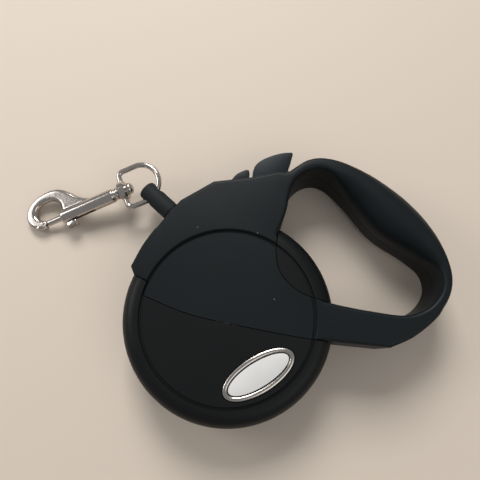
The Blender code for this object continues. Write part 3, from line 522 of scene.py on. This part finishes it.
# ---- Case ----
FRAME_OUTLINE: tuple[Point, ...] = (
    (-34.1, 8.6, True), (-16.4, 1.4, False), (4.7, -3.5, False), (34.1, -8.9, False),
    (64.3, -12.2, True), (74.0, -7.9, False), (84.6, 0.5, False), (90.9, 9.6, False),
    (92.3, 19.4, False), (88.4, 34.4, False), (79.5, 47.8, False), (66.0, 59.4, False),
    (53.0, 66.2, False), (42.5, 68.8, False), (34.5, 67.8, False), (26.2, 62.4, True),
    (8.8, 58.7, True), (-6.1, 57.0, True), (-20.0, 48.7, True), (-27.3, 40.0, True),
    (-34.6, 29.8, False), (-39.4, 20.3, True), (-38.0, 16.8, True), (-32.1, 14.1, True),
    (-33.3, 11.0, False),
)
OPENING_OUTLINE: tuple[Point, ...] = (
    (20.7, 34.8, True), (24.4, 44.0, False), (26.2, 52.5, False), (29.0, 58.0, False),
    (33.8, 61.7, False), (39.5, 62.7, False), (45.2, 60.0, False), (53.9, 48.6, False),
    (63.8, 36.0, False), (78.6, 25.7, False), (85.6, 20.3, False), (87.4, 14.2, False),
    (85.4, 8.6, False), (80.2, 3.4, False), (72.0, 0.5, False), (58.7, 1.9, False),
    (41.0, 5.5, False), (28.8, 9.8, False), (21.3, 17.6, False), (19.6, 26.0, False),
)


HOOD_ROOM = ((-15.0, 42.5), (-13.0, 48.5), (-5.5, 54.0), (8.0, 55.6), (23.0, 58.0), (22.5, 50.0),
             (20.5, 41.0), (10.0, 41.0), (-5.0, 42.0))
BRAKE_SLOT = ((9.1, 52.0, 7.5), (26.05, 66.0, 19.5))
LOCK_SLOT = ((-1.8, 52.0, 16.0), (6.0, 66.0, 19.5))
CASE_SCREWS = range(1, 7)


@dataclass
class Case:
    """The hood, hand loop and round reel case, each as a front and a rear half.

    Attributes:
        gap: Seam between neighbouring mouldings.
        wall: Wall thickness.
        face_r: Radius of the round groove in the panels.
        reel_r: Radius of the reel case.
        shoulder_r: Rounding between the reel case's panel and rim.
        groove: Width of the round groove.
        groove_depth: Its depth.
        groove_slope: How much narrower its floor is on each side.
        mouth_r: Radius of the sleeve's mouth in the hood.
        window_r: Radius of the cord's window in the reel case.
        grip_start: Start of the soft grip, in the hand loop's plane.
        grip_end: End of the soft grip.
        edge: Rounding of the hood's edges.
    """

    gap: float = 0.3 * MM
    wall: float = 2.0 * MM
    face_r: float = 35.1 * MM
    reel_r: float = 43.0 * MM
    shoulder_r: float = 6.5 * MM
    groove: float = 1.0 * MM
    groove_depth: float = 0.8 * MM
    groove_slope: float = 0.1 * MM
    mouth_r: float = 4.6 * MM
    window_r: float = 2.6 * MM
    grip_start: Vector = field(default_factory=lambda: Vector((44.0, 64.0)) * MM)
    grip_end: Vector = field(default_factory=lambda: Vector((91.0, 19.0)) * MM)
    edge: float = 1.5 * MM

    def __post_init__(self) -> None:
        """Read the case's heights and its mouth from the frame, and draw its outlines."""
        self.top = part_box("front_handle_frame")[1].z
        self.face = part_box("front_reel_case")[1].z
        self.mid = self.top / 2
        self.outer = smooth_outline(FRAME_OUTLINE)
        self.opening = smooth_outline(OPENING_OUTLINE)
        self.mouth = along(middle("cord_outlet_bush"), Vector(joint("leash_pull")["axis"]))

    def softness(self, spot: Vector, outside: bool) -> float:
        """Return how far a point of an outline lies on the rounded grip, 0 to 1."""
        axis = self.grip_end - self.grip_start
        way = axis.normalized()
        u = (spot - self.grip_start).dot(way) / axis.length
        aside = abs((spot - self.grip_start).dot(Vector((-way.y, way.x))))
        reach = ease(-0.35, 0.0, u) * (1 - ease(1.02, 1.18, u)) if outside else (
            ease(0.0, 0.3, u) * (1 - ease(0.72, 1.02, u)))
        return reach * (1 - ease(13.5 * MM, 18.0 * MM, aside))

    def rounding(self, spot: Vector, outside: bool, front: bool) -> tuple[float, float]:
        """Return an outline point's edge rounding across and down, in metres."""
        if spot.length < self.face_r + 3.0 * MM:
            return 0.35 * MM, 0.35 * MM
        other = self.opening if outside else self.outer
        width = min((spot - p).length for p in other)
        edge = self.edge if spot.x > -30.0 * MM else 0.4 * MM
        soft = self.softness(spot, outside)
        across, down = (6.0 * MM, 9.0 * MM) if outside else (8.0 * MM, 8.5 * MM)
        if not front:
            across, down = across * 0.6, down * 0.6
        share = 0.4 if outside else 0.5
        return min(edge + soft * across, max(share * width, 0.3 * MM)), edge + soft * down

    def skin(self, name: str, front: bool) -> Solid:
        """Return one half of hood and hand loop as a solid with rounded edges."""
        steps = 8
        sign = 1.0 if front else -1.0
        face = self.top if front else 0.0
        part_z = self.mid + sign * self.gap / 2
        shape = bmesh.new()
        first, last = [], []
        for line, side in ((self.outer, 1.0), (self.opening, -1.0)):
            normals = inward_normals(line)
            rings = [[shape.verts.new((p.x, p.y, part_z)) for p in line]]
            sizes = [self.rounding(p, side > 0, front) for p in line]
            for k in range(steps + 1):
                angle = math.pi / 2 * k / steps
                ring = []
                for p, n, (across, down) in zip(line, normals, sizes):
                    spot = p + n * side * across * (1 - math.cos(angle))
                    height = face - sign * down * (1 - math.sin(angle))
                    ring.append(shape.verts.new((spot.x, spot.y, height)))
                rings.append(ring)
            for lower, upper in zip(rings, rings[1:]):
                bridge(shape, lower, upper)
            first += loop_edges(shape, rings[0])
            last += loop_edges(shape, rings[-1])
        bmesh.ops.triangle_fill(shape, edges=first, use_beauty=True)
        bmesh.ops.triangle_fill(shape, edges=last, use_beauty=True)
        return from_bmesh(name, shape)

    def panel_cutter(self, front: bool) -> Solid:
        """Return the tool that sinks the round panel and cuts its groove, with eased edges."""
        half = self.groove / 2
        face, brim = (self.face, self.top) if front else (0.0, 0.0)
        out = 1.0 if front else -1.0
        high = brim + out * 2 * MM
        deep = face - out * self.groove_depth
        soft = 0.35 * MM
        level = face if front else face + out * 0.01 * MM
        profile = [
            (0.0, level), (self.face_r - half - soft, level), (self.face_r - half, level - out * soft),
            (self.face_r - half + self.groove_slope, deep), (self.face_r + half - self.groove_slope, deep),
            (self.face_r + half, brim - out * soft * 1.4), (self.face_r + half + soft * 1.4, brim),
            (self.face_r + half + soft * 1.4, high), (0.0, high),
        ]
        return turned("panel_cutter", profile, None, 160)

    def screw_sinks(self) -> list[Solid]:
        """Return the counterbores of the case screws."""
        sinks = []
        for number in CASE_SCREWS:
            low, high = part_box(f"case_screw_{number}")
            spot = (low + high) / 2
            radius = (high.x - low.x) / 2 + self.gap
            at = Matrix.Translation((spot.x, spot.y, 0))
            sinks.append(rod("sink", radius, -MM, low.z + 1.9 * MM, at, 32))
        return sinks

    def frame_half(self, side: str) -> Solid:
        """Return one finished half of hood, upper panel and hand loop."""
        front = side == "front"
        body = self.skin(f"{side}_handle_shell", front)
        room_r = self.reel_r + self.gap
        hollow = [Vector(point) * MM for point in HOOD_ROOM]
        tools = [
            rod("reel_room", room_r, self.wall + 0.2 * MM, self.face - self.wall + self.gap, None, 160),
            prism("hood_room", [hollow], 2 * self.wall, self.top - 2 * self.wall),
            self.panel_cutter(front),
            rod("mouth", self.mouth_r, -6 * MM, 12 * MM, self.mouth),
            block("brake_slot", *(mm(*corner) for corner in BRAKE_SLOT)),
            block("lock_slot", *(mm(*corner) for corner in LOCK_SLOT)),
        ]
        if not front:
            tools += self.screw_sinks()
        return finished(combine(body, "DIFFERENCE", *tools), Finish.CASE, "case", f"{side}_handle_frame",
                        f"{side}_hand_loop")

    def reel_half(self, side: str) -> Solid:
        """Return one finished half of the round reel case."""
        front = side == "front"
        flat_r = self.reel_r - self.shoulder_r
        sign = 1.0 if front else -1.0
        face = self.face if front else 0.0
        part_z = self.mid + sign * self.gap / 2
        rim = [(flat_r + self.shoulder_r * math.sin(math.pi / 28 * k),
                face - sign * self.shoulder_r * (1 - math.cos(math.pi / 28 * k))) for k in range(15)]
        inner_r = self.reel_r - self.wall
        corner = self.shoulder_r - self.wall
        inner = face - sign * self.wall
        section = [(0.0, face), *rim, (self.reel_r, part_z), (inner_r, part_z),
                   (inner_r, inner - sign * corner), (inner_r - corner, inner), (0.0, inner)]
        body = turned(f"{side}_reel_shell", section, None, 192)
        grown = [p - n * self.gap for p, n in zip(self.outer, inward_normals(self.outer))]
        lens = [p + n * self.gap for p, n in zip(self.opening, inward_normals(self.opening))]
        low, high = (inner - self.gap, self.top + MM) if front else (-MM, inner + 2 * self.gap)
        half, soft = self.groove / 2, 0.3 * MM
        deep = face - sign * self.groove_depth
        groove = turned("groove", [
            (self.face_r - half - soft, face + sign * soft), (self.face_r - half, face - sign * soft),
            (self.face_r - half + self.groove_slope, deep), (self.face_r + half - self.groove_slope, deep),
            (self.face_r + half, face - sign * soft), (self.face_r + half + soft, face + sign * soft),
        ], None, 192)
        tools = [prism("zone", [grown, lens], low, high), groove,
                 rod("cord_window", self.window_r, -16 * MM, 4 * MM, self.mouth)]
        if front:
            badge = middle("badge_bezel")
            tools.append(Badge().oval("pocket", 0.0, self.gap, self.face - 0.9 * MM, self.top, badge))
        else:
            tools += self.screw_sinks()
        # The reel case wears the darker copy of the case plastic, which paints shade on it.
        return finished(combine(body, "DIFFERENCE", *tools), Finish.LOWER, "case", f"{side}_reel_case")

    def screws(self) -> None:
        """Build the cross-recessed case screws."""
        for number in CASE_SCREWS:
            name = f"case_screw_{number}"
            low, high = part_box(name)
            spot = (low + high) / 2
            head_r = (high.x - low.x) / 2
            at = Matrix.Translation((spot.x, spot.y, 0.0))
            crown = low.z + 1.6 * MM
            screw = turned(f"recessed_screw_{number}", [
                (0.0, low.z), (head_r * 0.7, low.z), (head_r, low.z + 0.5 * MM), (head_r, crown),
                (0.9 * MM, crown), (0.9 * MM, high.z - MM), (0.0, high.z)], at, 32)
            bars = [block("bar", (-0.25 * MM, -MM, -MM), (0.25 * MM, MM, low.z + 0.8 * MM),
                          at @ Matrix.Rotation(turn, 4, "Z")) for turn in (0.0, math.pi / 2)]
            finished(combine(screw, "DIFFERENCE", *bars), Finish.STEEL, "case", name)

    def build(self) -> None:
        """Build the four shells and the screws."""
        for side in ("front", "rear"):
            self.frame_half(side)
            self.reel_half(side)
        self.screws()


@dataclass
class Badge:
    """The blank oval badge: a bright rim, a dark line and a plain plate.

    Attributes:
        semi: Half length and half width.
        turn: Turn of the long axis.
        rim: Width of the rim.
    """

    semi: tuple[float, float] = (15.9 * MM, 7.0 * MM)
    turn: float = math.radians(31.0)
    rim: float = 1.9 * MM

    def line(self, inset: float, centre: Vector, steps: int = 160) -> list[Vector]:
        """Return an oval outline that lies inset inside the rim's edge."""
        points = []
        for k in range(steps):
            angle = math.tau * k / steps
            x = (self.semi[0] - inset) * math.cos(angle)
            y = (self.semi[1] - inset) * math.sin(angle)
            points.append(Vector((centre.x + x * math.cos(self.turn) - y * math.sin(self.turn),
                                  centre.y + x * math.sin(self.turn) + y * math.cos(self.turn))))
        return points

    def oval(self, name: str, inset: float, grow: float, low: float, high: float,
             centre: Vector) -> Solid:
        """Return a solid oval."""
        return prism(name, [self.line(inset - grow, centre)], low, high)

    def ring(self, name: str, profile: list[tuple[float, float]], centre: Vector) -> Solid:
        """Return an oval ring from its (inset, height) section."""
        shape = bmesh.new()
        rings = [[shape.verts.new((p.x, p.y, height)) for p in self.line(inset, centre)]
                 for inset, height in profile]
        for lower, upper in zip(rings, rings[1:] + rings[:1]):
            bridge(shape, lower, upper)
        return from_bmesh(name, shape)

    def build(self) -> None:
        """Build the rim, the dark line and the plate."""
        centre = middle("badge_bezel")
        low, high = (corner.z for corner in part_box("badge_bezel"))
        section = [(0.0, low), (0.0, high - 0.35 * MM)]
        section += [(self.rim / 2 - self.rim / 2 * math.cos(math.pi * k / 8),
                     high - 0.45 * MM + 0.45 * MM * math.sin(math.pi * k / 8)) for k in range(9)]
        section.append((self.rim, low))
        finished(self.ring("badge_rim", section, centre), Finish.CHROME, "case", "badge_bezel")
        level = high - 0.35 * MM
        border = [(self.rim + 0.03 * MM, low), (self.rim + 0.03 * MM, level), (self.rim + 0.45 * MM, level),
                  (self.rim + 0.45 * MM, low)]
        finished(self.ring("badge_border", border, centre), Finish.RUBBER, "case")
        plate = self.oval("badge_field", self.rim + 0.48 * MM, 0.0, low, level + 0.05 * MM, centre)
        finished(rounded(plate, 0.15 * MM, 2), Finish.BADGE, "case", "badge_plate")


# ---- Buttons ----
@dataclass
class Controls:
    """The brake fin with its pawl, and the lock.

    Attributes:
        edge: Rounding of the edges.
        width: Width of the buttons across the hood.
        rib_spots: Places of the fin's finger grooves, in millimetres.
        rib_turn: Their turn, along the fin's top.
        stem: The pawl stem's two sides, top and two heights.
        arm: Both ends and both faces of the brake's arm, which the lock holds.
        arm_z: Its height.
        tip: End of the arm's tip and its two heights.
        shank: The lock shank's two sides, top and lower height.
        tongue: Thickness of the lock's tongue and its two heights.
        fin: Outline of the brake fin.
        lock: Outline of the lock.
    """

    edge: float = 0.9 * MM
    width: float = 11.0 * MM
    rib_spots: tuple[tuple[float, float], ...] = ((14.9, 69.75), (17.3, 70.9), (19.7, 71.95))
    rib_turn: float = math.radians(24)
    stem: tuple[float, ...] = mm(15.5, 18.5, 55.0, 17.8, 20.4)
    arm: tuple[float, ...] = mm(-2.4, 11.0, 53.5, 54.8)
    arm_z: float = 12.8 * MM
    tip: tuple[float, ...] = mm(1.2, 12.5, 16.2)
    shank: tuple[float, ...] = mm(2.2, 5.5, 60.0, 16.5)
    tongue: tuple[float, ...] = mm(1.3, 13.2, 17.0)
    fin: tuple[Point, ...] = (
        (10.3, 53.3, True), (10.6, 63.8, True), (11.8, 66.9, False), (14.6, 69.4, False),
        (19.7, 71.7, False), (24.4, 72.9, False), (28.3, 73.1, True), (28.5, 72.0, True),
        (25.0, 61.5, True), (22.3, 57.0, True), (22.3, 53.3, True),
    )
    lock: tuple[Point, ...] = (
        (-0.1, 58.3, True), (3.4, 62.8, False), (7.6, 65.0, True), (8.9, 64.7, True),
        (9.2, 62.8, False), (8.7, 59.2, True),
    )

    def build(self) -> None:
        """Build both buttons."""
        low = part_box("lock_slider")[0]
        z0, z1 = low.z, low.z + self.width
        button = rounded(prism("brake_fin", [smooth_outline(self.fin, 6)], z0, z1), self.edge)
        ribs = [
            block("rib", (-0.35 * MM, -0.5 * MM, z0 + 1.4 * MM), (0.35 * MM, 0.5 * MM, z1 - 1.4 * MM),
                  Matrix.Translation((x * MM, y * MM, 0)) @ Matrix.Rotation(self.rib_turn, 4, "Z"))
            for x, y in self.rib_spots
        ]
        button = combine(button, "DIFFERENCE", *ribs)
        x0, x1, top, near, far = self.stem
        stem = block("stem", (x0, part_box("brake_button")[0].y, near), (x1, top, far))
        start, end, under, over = self.arm
        arm = block("arm", (start, under, z0), (end, over, self.arm_z))
        tip = block("tip", (start, under, self.tip[1]), (self.tip[0], over, self.tip[2]))
        button = combine(button, "UNION", stem, combine(arm, "UNION", tip))
        finished(button, Finish.BUTTON, "brake", "brake_button")
        pad = rounded(prism("lock_pad", [smooth_outline(self.lock, 6)], z0, z1), self.edge * 0.8)
        x0, x1, top, near = self.shank
        shank = block("shank", (x0, low.y, near), (x1, top, z1 - MM))
        thick, near, far = self.tongue
        tongue = block("tongue", (x0, low.y, near), (x1, low.y + thick, far))
        pad = combine(pad, "UNION", combine(shank, "UNION", tongue))
        finished(pad, Finish.BUTTON, "lock", "lock_slider")


# ---- Leash end and cord ----
@dataclass
class LeashEnd:
    """The rubber sleeve, the cord's lead and the winding.

    Attributes:
        radius: Radius of the sleeve.
        cord_r: Radius of the cord.
        length: Length of the sleeve.
        eye_from_tip: Distance of the ring's eye from the sleeve's tip.
        nose: Rounding of its tip.
        eye_r: Least radius of the ring's eye.
        bow_r: Radius of the eye's flare.
        chamber_r: Radius of the ferrule's chamber.
        chamber_half: Half length of the chamber.
    """

    radius: float = 4.2 * MM
    cord_r: float = 1.1 * MM
    length: float = 20.6 * MM
    eye_from_tip: float = 4.8 * MM
    nose: float = 1.3 * MM
    eye_r: float = 1.3 * MM
    bow_r: float = 8.8 * MM
    chamber_r: float = 2.6 * MM
    chamber_half: float = 2.0 * MM

    def build(self) -> None:
        """Build the sleeve, the lead and the winding."""
        way = Vector(joint("leash_pull")["axis"])
        swing = joint("ring_swing")
        eye, eye_axis = Vector(swing["pos_m"]), Vector(swing["axis"])
        at = along(eye, way)
        tip, nose = self.eye_from_tip, self.nose
        base = tip - self.length
        profile = [(0.0, tip)]
        profile += [(self.radius - nose + nose * math.sin(math.pi / 12 * k),
                     tip - nose + nose * math.cos(math.pi / 12 * k)) for k in range(7)]
        ring_z = base + 4.2 * MM
        profile += [(self.radius, ring_z + 0.5 * MM), (self.radius - 0.25 * MM, ring_z + 0.3 * MM),
                    (self.radius - 0.25 * MM, ring_z - 0.1 * MM), (self.radius, ring_z - 0.3 * MM),
                    (self.radius, base), (0.0, base)]
        sleeve = turned("end_sleeve_shell", profile, at, 64)
        reach = self.radius + 0.5 * MM
        flare = []
        for k in range(17):
            place = reach - 2 * reach * k / 16
            flare.append((self.eye_r + self.bow_r - math.sqrt(self.bow_r**2 - place**2), place))
        eyelet = turned("eyelet", [(0.0, reach), *flare, (0.0, -reach)], along(eye, eye_axis), 32)
        passage = rod("passage", self.cord_r + 0.3 * MM, base - MM, -2.7 * MM, at)
        low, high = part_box("cord_ferrule")
        chamber_mid = ((low + high) / 2 - eye).dot(way)
        chamber = rod("chamber", self.chamber_r, chamber_mid - self.chamber_half,
                      chamber_mid + self.chamber_half, at)
        finished(combine(sleeve, "DIFFERENCE", eyelet, combine(passage, "UNION", chamber)),
                 Finish.RUBBER, "leash_end", "end_sleeve")
        self.lead(eye, way, chamber_mid)
        self.winding()

    def lead(self, eye: Vector, way: Vector, chamber_mid: float) -> None:
        """Build the cord from the winding to the ferrule."""
        bush = middle("cord_outlet_bush")
        bend = bush - way * 3.5 * MM
        end = eye + way * (chamber_mid + 1.2 * MM)
        low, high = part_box("cord_lead")
        start = Vector((high.x - 0.4 * MM, low.y + self.cord_r, bush.z))
        route = [start.lerp(bend, k / 10) for k in range(10)]
        route += [bend.lerp(start, 0.03), bend.lerp(bush, 0.4)]
        route += [bush.lerp(end, k / 24) for k in range(25)]
        piece = tube("cord_run", route, self.cord_r, sides=4)
        finished(piece, Finish.CORD, "", "cord_lead")
        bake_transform(piece)

    def winding(self) -> None:
        """Build the wound cord on the drum, layer on layer."""
        low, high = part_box("cord_winding")
        outer_r = (high.x - low.x) / 2
        lanes, layers, steps = 4, 4, 40
        pitch = (high.z - low.z - 2 * self.cord_r) / (lanes - 1)
        points = []
        for layer in range(layers):
            radius = outer_r - self.cord_r - (layers - 1 - layer) * 1.9 * self.cord_r
            for k in range((lanes - 1) * steps + (steps if layer == layers - 1 else steps // 2)):
                share = min(1.0, k / ((lanes - 1) * steps))
                across = share if layer % 2 == 0 else 1 - share
                angle = math.tau * (k + layer * ((lanes - 1) * steps + steps // 2)) / steps
                points.append((radius * math.cos(angle), radius * math.sin(angle),
                               low.z + self.cord_r + across * pitch * (lanes - 1)))
        finished(tube("wound_cord", points, self.cord_r, sides=2), Finish.CORD, "reel", "cord_winding")


# ---- Ring and snap hook ----
BARREL_SECTION = (
    (0.0, 2.0), (2.3, 2.0), (2.8, 2.5), (2.8, 3.5), (2.4, 4.0), (2.5, 4.3), (3.1, 4.9), (3.2, 5.7),
    (3.2, 30.6), (2.8, 31.4), (0.0, 31.4),
)
BOLT_SECTION = ((0.0, 21.0), (1.4, 21.0), (1.4, 38.5), (1.1, 38.9), (0.0, 38.9))
STUD_CORNERS = ((24.9, -6.2, -1.5), (29.9, -3.5, 1.5))
STUD_GROOVES = (25.9, 26.9, 27.9, 28.9)
BOLT_SLOT = ((15.2, -6.0, -1.1), (28.5, 0.0, 1.1))


@dataclass
class Hardware:
    """The swivel ring and the bolt snap.

    Attributes:
        wire_r: Radius of the ring's wire.
        half: Half width of the ring.
        side: Length of its straight sides.
        corner: Radius of its corners.
        voxel: Fineness of the cast hook's surface.
        plate: Half thickness of the hook.
        head_r: Radius of the swivel post's head.
        shaft_r: Radius of its shaft.
        outline: Outline of the hook, along and across the snap.
    """

    wire_r: float = 1.25 * MM
    half: float = 8.8 * MM
    side: float = 8.5 * MM
    corner: float = 2.2 * MM
    voxel: float = 0.22 * MM
    plate: float = 1.85 * MM
    head_r: float = 2.6 * MM
    shaft_r: float = 1.3 * MM
    outline: tuple[Point, ...] = (
        (13.0, 0.5, True), (15.4, 3.0, False), (18.4, 4.4, False), (21.4, 6.6, False), (24.9, 10.4, False),
        (29.0, 13.4, False), (34.0, 14.4, False), (41.0, 13.4, False), (46.2, 9.8, False),
        (48.0, 4.9, False), (46.3, 0.3, False), (42.4, -2.1, True), (39.3, -2.1, True),
        (39.3, 1.5, True), (41.6, 2.8, False), (42.9, 5.6, False), (40.9, 8.7, False),
        (36.6, 9.8, False), (32.2, 8.6, False), (30.2, 5.8, False), (30.2, 3.0, True), (30.2, 0.5, True),
    )

    def __post_init__(self) -> None:
        """Read the snap's axes from its swivel."""
        swivel = joint("snap_swivel")
        x_axis = Vector(swivel["axis"]).normalized()
        side = Vector((x_axis.y, -x_axis.x, 0.0)).normalized()
        turn = Matrix((x_axis, side, x_axis.cross(side))).transposed().to_4x4()
        self.place = Matrix.Translation(Vector(swivel["pos_m"])) @ turn
        self.barrel = self.place @ Matrix.Rotation(math.pi / 2, 4, "Y")

    def ring(self) -> None:
        """Build the stirrup ring with its eye."""
        flat = []
        for sign in (-1, 1):
            for k in range(9):
                angle = math.pi / 16 * (k if sign > 0 else k - 8)
                flat.append((self.corner * (math.cos(angle) - 1),
                             sign * (self.half - self.corner) + self.corner * math.sin(angle), 0.0))
        turns = [math.pi * k / 40 for k in range(41)]
        bow = [(-self.side - self.half * math.sin(turn), self.half * math.cos(turn), 0.0) for turn in turns]
        body = tube("ring_wire", flat + bow, self.wire_r, True, 6, self.place)
        reach, soft, eye_r = 1.8 * MM, 0.6 * MM, 4.4 * MM
        eye = turned("eye", [(0.0, -reach), (eye_r - soft, -reach), (eye_r, -reach + soft),
                             (eye_r, reach - soft), (eye_r - soft, reach), (0.0, reach)], self.barrel, 48)
        body = combine(body, "UNION", eye)
        body = combine(body, "DIFFERENCE", rod("eye_bore", 1.7 * MM, -3 * MM, 3 * MM, self.barrel))
        finished(body, Finish.NICKEL, "ring", "swivel_ring")

    def post(self) -> None:
        """Build the swivel post with its domed head."""
        high = -1.9 * MM
        turns = [math.pi / 20 * k for k in range(11)]
        dome = [(self.head_r * math.sin(turn), high - 1.2 * MM - 1.8 * MM * math.cos(turn)) for turn in turns]
        post = turned("post_head", [*dome, (self.head_r, high), (self.shaft_r, high),
                                    (self.shaft_r, 6.3 * MM), (0.0, 6.3 * MM)], self.barrel, 48)
        finished(post, Finish.NICKEL, "snap", "swivel_post")

    def hook(self) -> None:
        """Build the cast hook: collar, barrel and hook grown into one another."""
        plate = prism("plate", [smooth_outline(self.outline, 8)], -self.plate, self.plate)
        plate = rounded(plate, 1.55 * MM, 5, False)
        plate.data.transform(self.place)
        barrel = turned("barrel", [mm(*point) for point in BARREL_SECTION], self.barrel, 64)
        body = combine(plate, "UNION", barrel)
        body.name = "hook_casting"
        remesh = body.modifiers.new("cast", "REMESH")
        remesh.mode = "VOXEL"
        remesh.voxel_size = self.voxel
        relax = body.modifiers.new("relax", "SMOOTH")
        relax.factor = 0.5
        relax.iterations = 6
        body = settle(body)
        tools = [
            rod("post_bore", 1.6 * MM, 0.5 * MM, 6.6 * MM, self.barrel),
            rod("bolt_bore", 1.7 * MM, 8.7 * MM, 32 * MM, self.barrel),
            block("slot", *(mm(*corner) for corner in BOLT_SLOT), self.place),
        ]
        finished(combine(body, "DIFFERENCE", *tools), Finish.NICKEL, "snap", "snap_hook")

    def bolt(self) -> None:
        """Build the sprung bolt and its ribbed thumb stud."""
        bolt = turned("bolt_pin", [mm(*point) for point in BOLT_SECTION], self.barrel, 40)
        finished(bolt, Finish.NICKEL, "bolt", "snap_bolt")
        knob = block("thumb_stud", *(mm(*corner) for corner in STUD_CORNERS))
        knob = rounded(knob, 0.5 * MM, 3)
        grooves = [block("cut", ((x - 0.22) * MM, -7 * MM, -2 * MM), ((x + 0.22) * MM, -5.75 * MM, 2 * MM))
                   for x in STUD_GROOVES]
        knob = combine(knob, "DIFFERENCE", *grooves)
        pin = rod("pin", 0.8 * MM, 1.7 * MM, 4.2 * MM,
                  Matrix.Translation((27.4 * MM, 0, 0)) @ Matrix.Rotation(math.pi / 2, 4, "X"))
        knob = combine(knob, "UNION", pin)
        knob.data.transform(self.place)
        finished(knob, Finish.NICKEL, "bolt", "bolt_stud")

    def build(self) -> None:
        """Build all the metal pieces."""
        self.ring()
        self.post()
        self.hook()
        self.bolt()


# ---- Frame nodes that keep their shape ----
KEPT = {
    Finish.STEEL: ("reel_axle", "cord_outlet_bush", "mainspring", "brake_spring", "bolt_spring"),
    Finish.BRASS: ("rear_axle_washer", "front_axle_washer", "cord_ferrule"),
    Finish.INNER: ("cord_spool", "spring_cover"),
}


def dress_kept_nodes() -> None:
    """Give the inner CAD pieces their finishes."""
    for finish, names in KEPT.items():
        for name in names:
            node = frame["nodes"][name]
            node.data.materials.clear()
            node.data.materials.append(MATERIALS[finish])
            LOG.info("%s: kept", name)


# ---- Studio ----
@dataclass
class Studio:
    """Pale floor, soft light and the camera over the leash.

    Attributes:
        lens: Focal length in millimetres.
        tilt: Tilt from straight down, in degrees.
        eye: The camera's place.
        floor_half: Half the floor's side.
        floor_tones: The floor's two colours.
        sky: Colour of the light from all round.
        sky_strength: Its strength.
        lamps: Name, place, size and power of each lamp.
    """

    lens: float = 37.5
    tilt: float = 13.4
    eye: Triple = (0.00497, -0.01651, 0.2269)
    floor_half: float = 3.0
    floor_tones: tuple[Triple, ...] = ((0.585, 0.50, 0.415), (0.62, 0.53, 0.44))
    sky: Triple = (0.95, 0.97, 1.0)
    sky_strength: float = 0.32
    lamps: tuple[tuple[str, tuple[float, float, float], float, float], ...] = (
        ("window", (-0.12, 0.85, 0.8), 0.5, 11.5),
        ("side", (-0.75, 0.25, 0.45), 0.35, 2.0),
        ("fill", (0.6, -0.5, 0.9), 0.8, 2.5),
    )

    def area(self, name: str, place: Triple, size: float, power: float) -> None:
        """Add a soft lamp aimed at the leash."""
        lamp = bpy.data.lights.new(name, "AREA")
        lamp.size = size
        lamp.energy = power
        made = link(name, lamp)
        made.location = place
        made.rotation_euler = (-Vector(place)).to_track_quat("-Z", "Y").to_euler()

    def camera(self) -> None:
        """Add the camera."""
        data = bpy.data.cameras.new("camera")
        data.lens = self.lens
        made = link("camera", data)
        made.location = self.eye
        made.rotation_euler = (math.radians(self.tilt), 0.0, 0.0)
        bpy.context.scene.camera = made

    def floor(self) -> None:
        """Add the floor."""
        shape = bmesh.new()
        bmesh.ops.create_grid(shape, x_segments=1, y_segments=1, size=self.floor_half)
        floor = from_bmesh("floor", shape)
        paint = Shader("floor_paint")
        soft = paint.noise(paint.place(), 0.5, 2.0)
        paint.set(Base_Color=paint.mix(soft, *(rgba(tone) for tone in self.floor_tones)), Roughness=0.7)
        floor.data.materials.append(paint.material)

    def build(self) -> None:
        """Build the studio."""
        scene = bpy.context.scene
        scene.view_settings.view_transform = "Standard"
        self.camera()
        self.floor()
        world = bpy.data.worlds.new("studio")
        world.use_nodes = True
        background = world.node_tree.nodes["Background"]
        background.inputs["Color"].default_value = rgba(self.sky)
        background.inputs["Strength"].default_value = self.sky_strength
        scene.world = world
        for lamp in self.lamps:
            self.area(*lamp)


def main() -> None:
    """Build the leash's looks, one sub-assembly after another."""
    logging.basicConfig(level=logging.INFO)
    Studio().build()
    for assembly in (Case(), Badge(), Controls(), LeashEnd(), Hardware()):
        LOG.info("building %s", type(assembly).__name__)
        assembly.build()
    dress_kept_nodes()


if __name__ == "__main__":
    main()
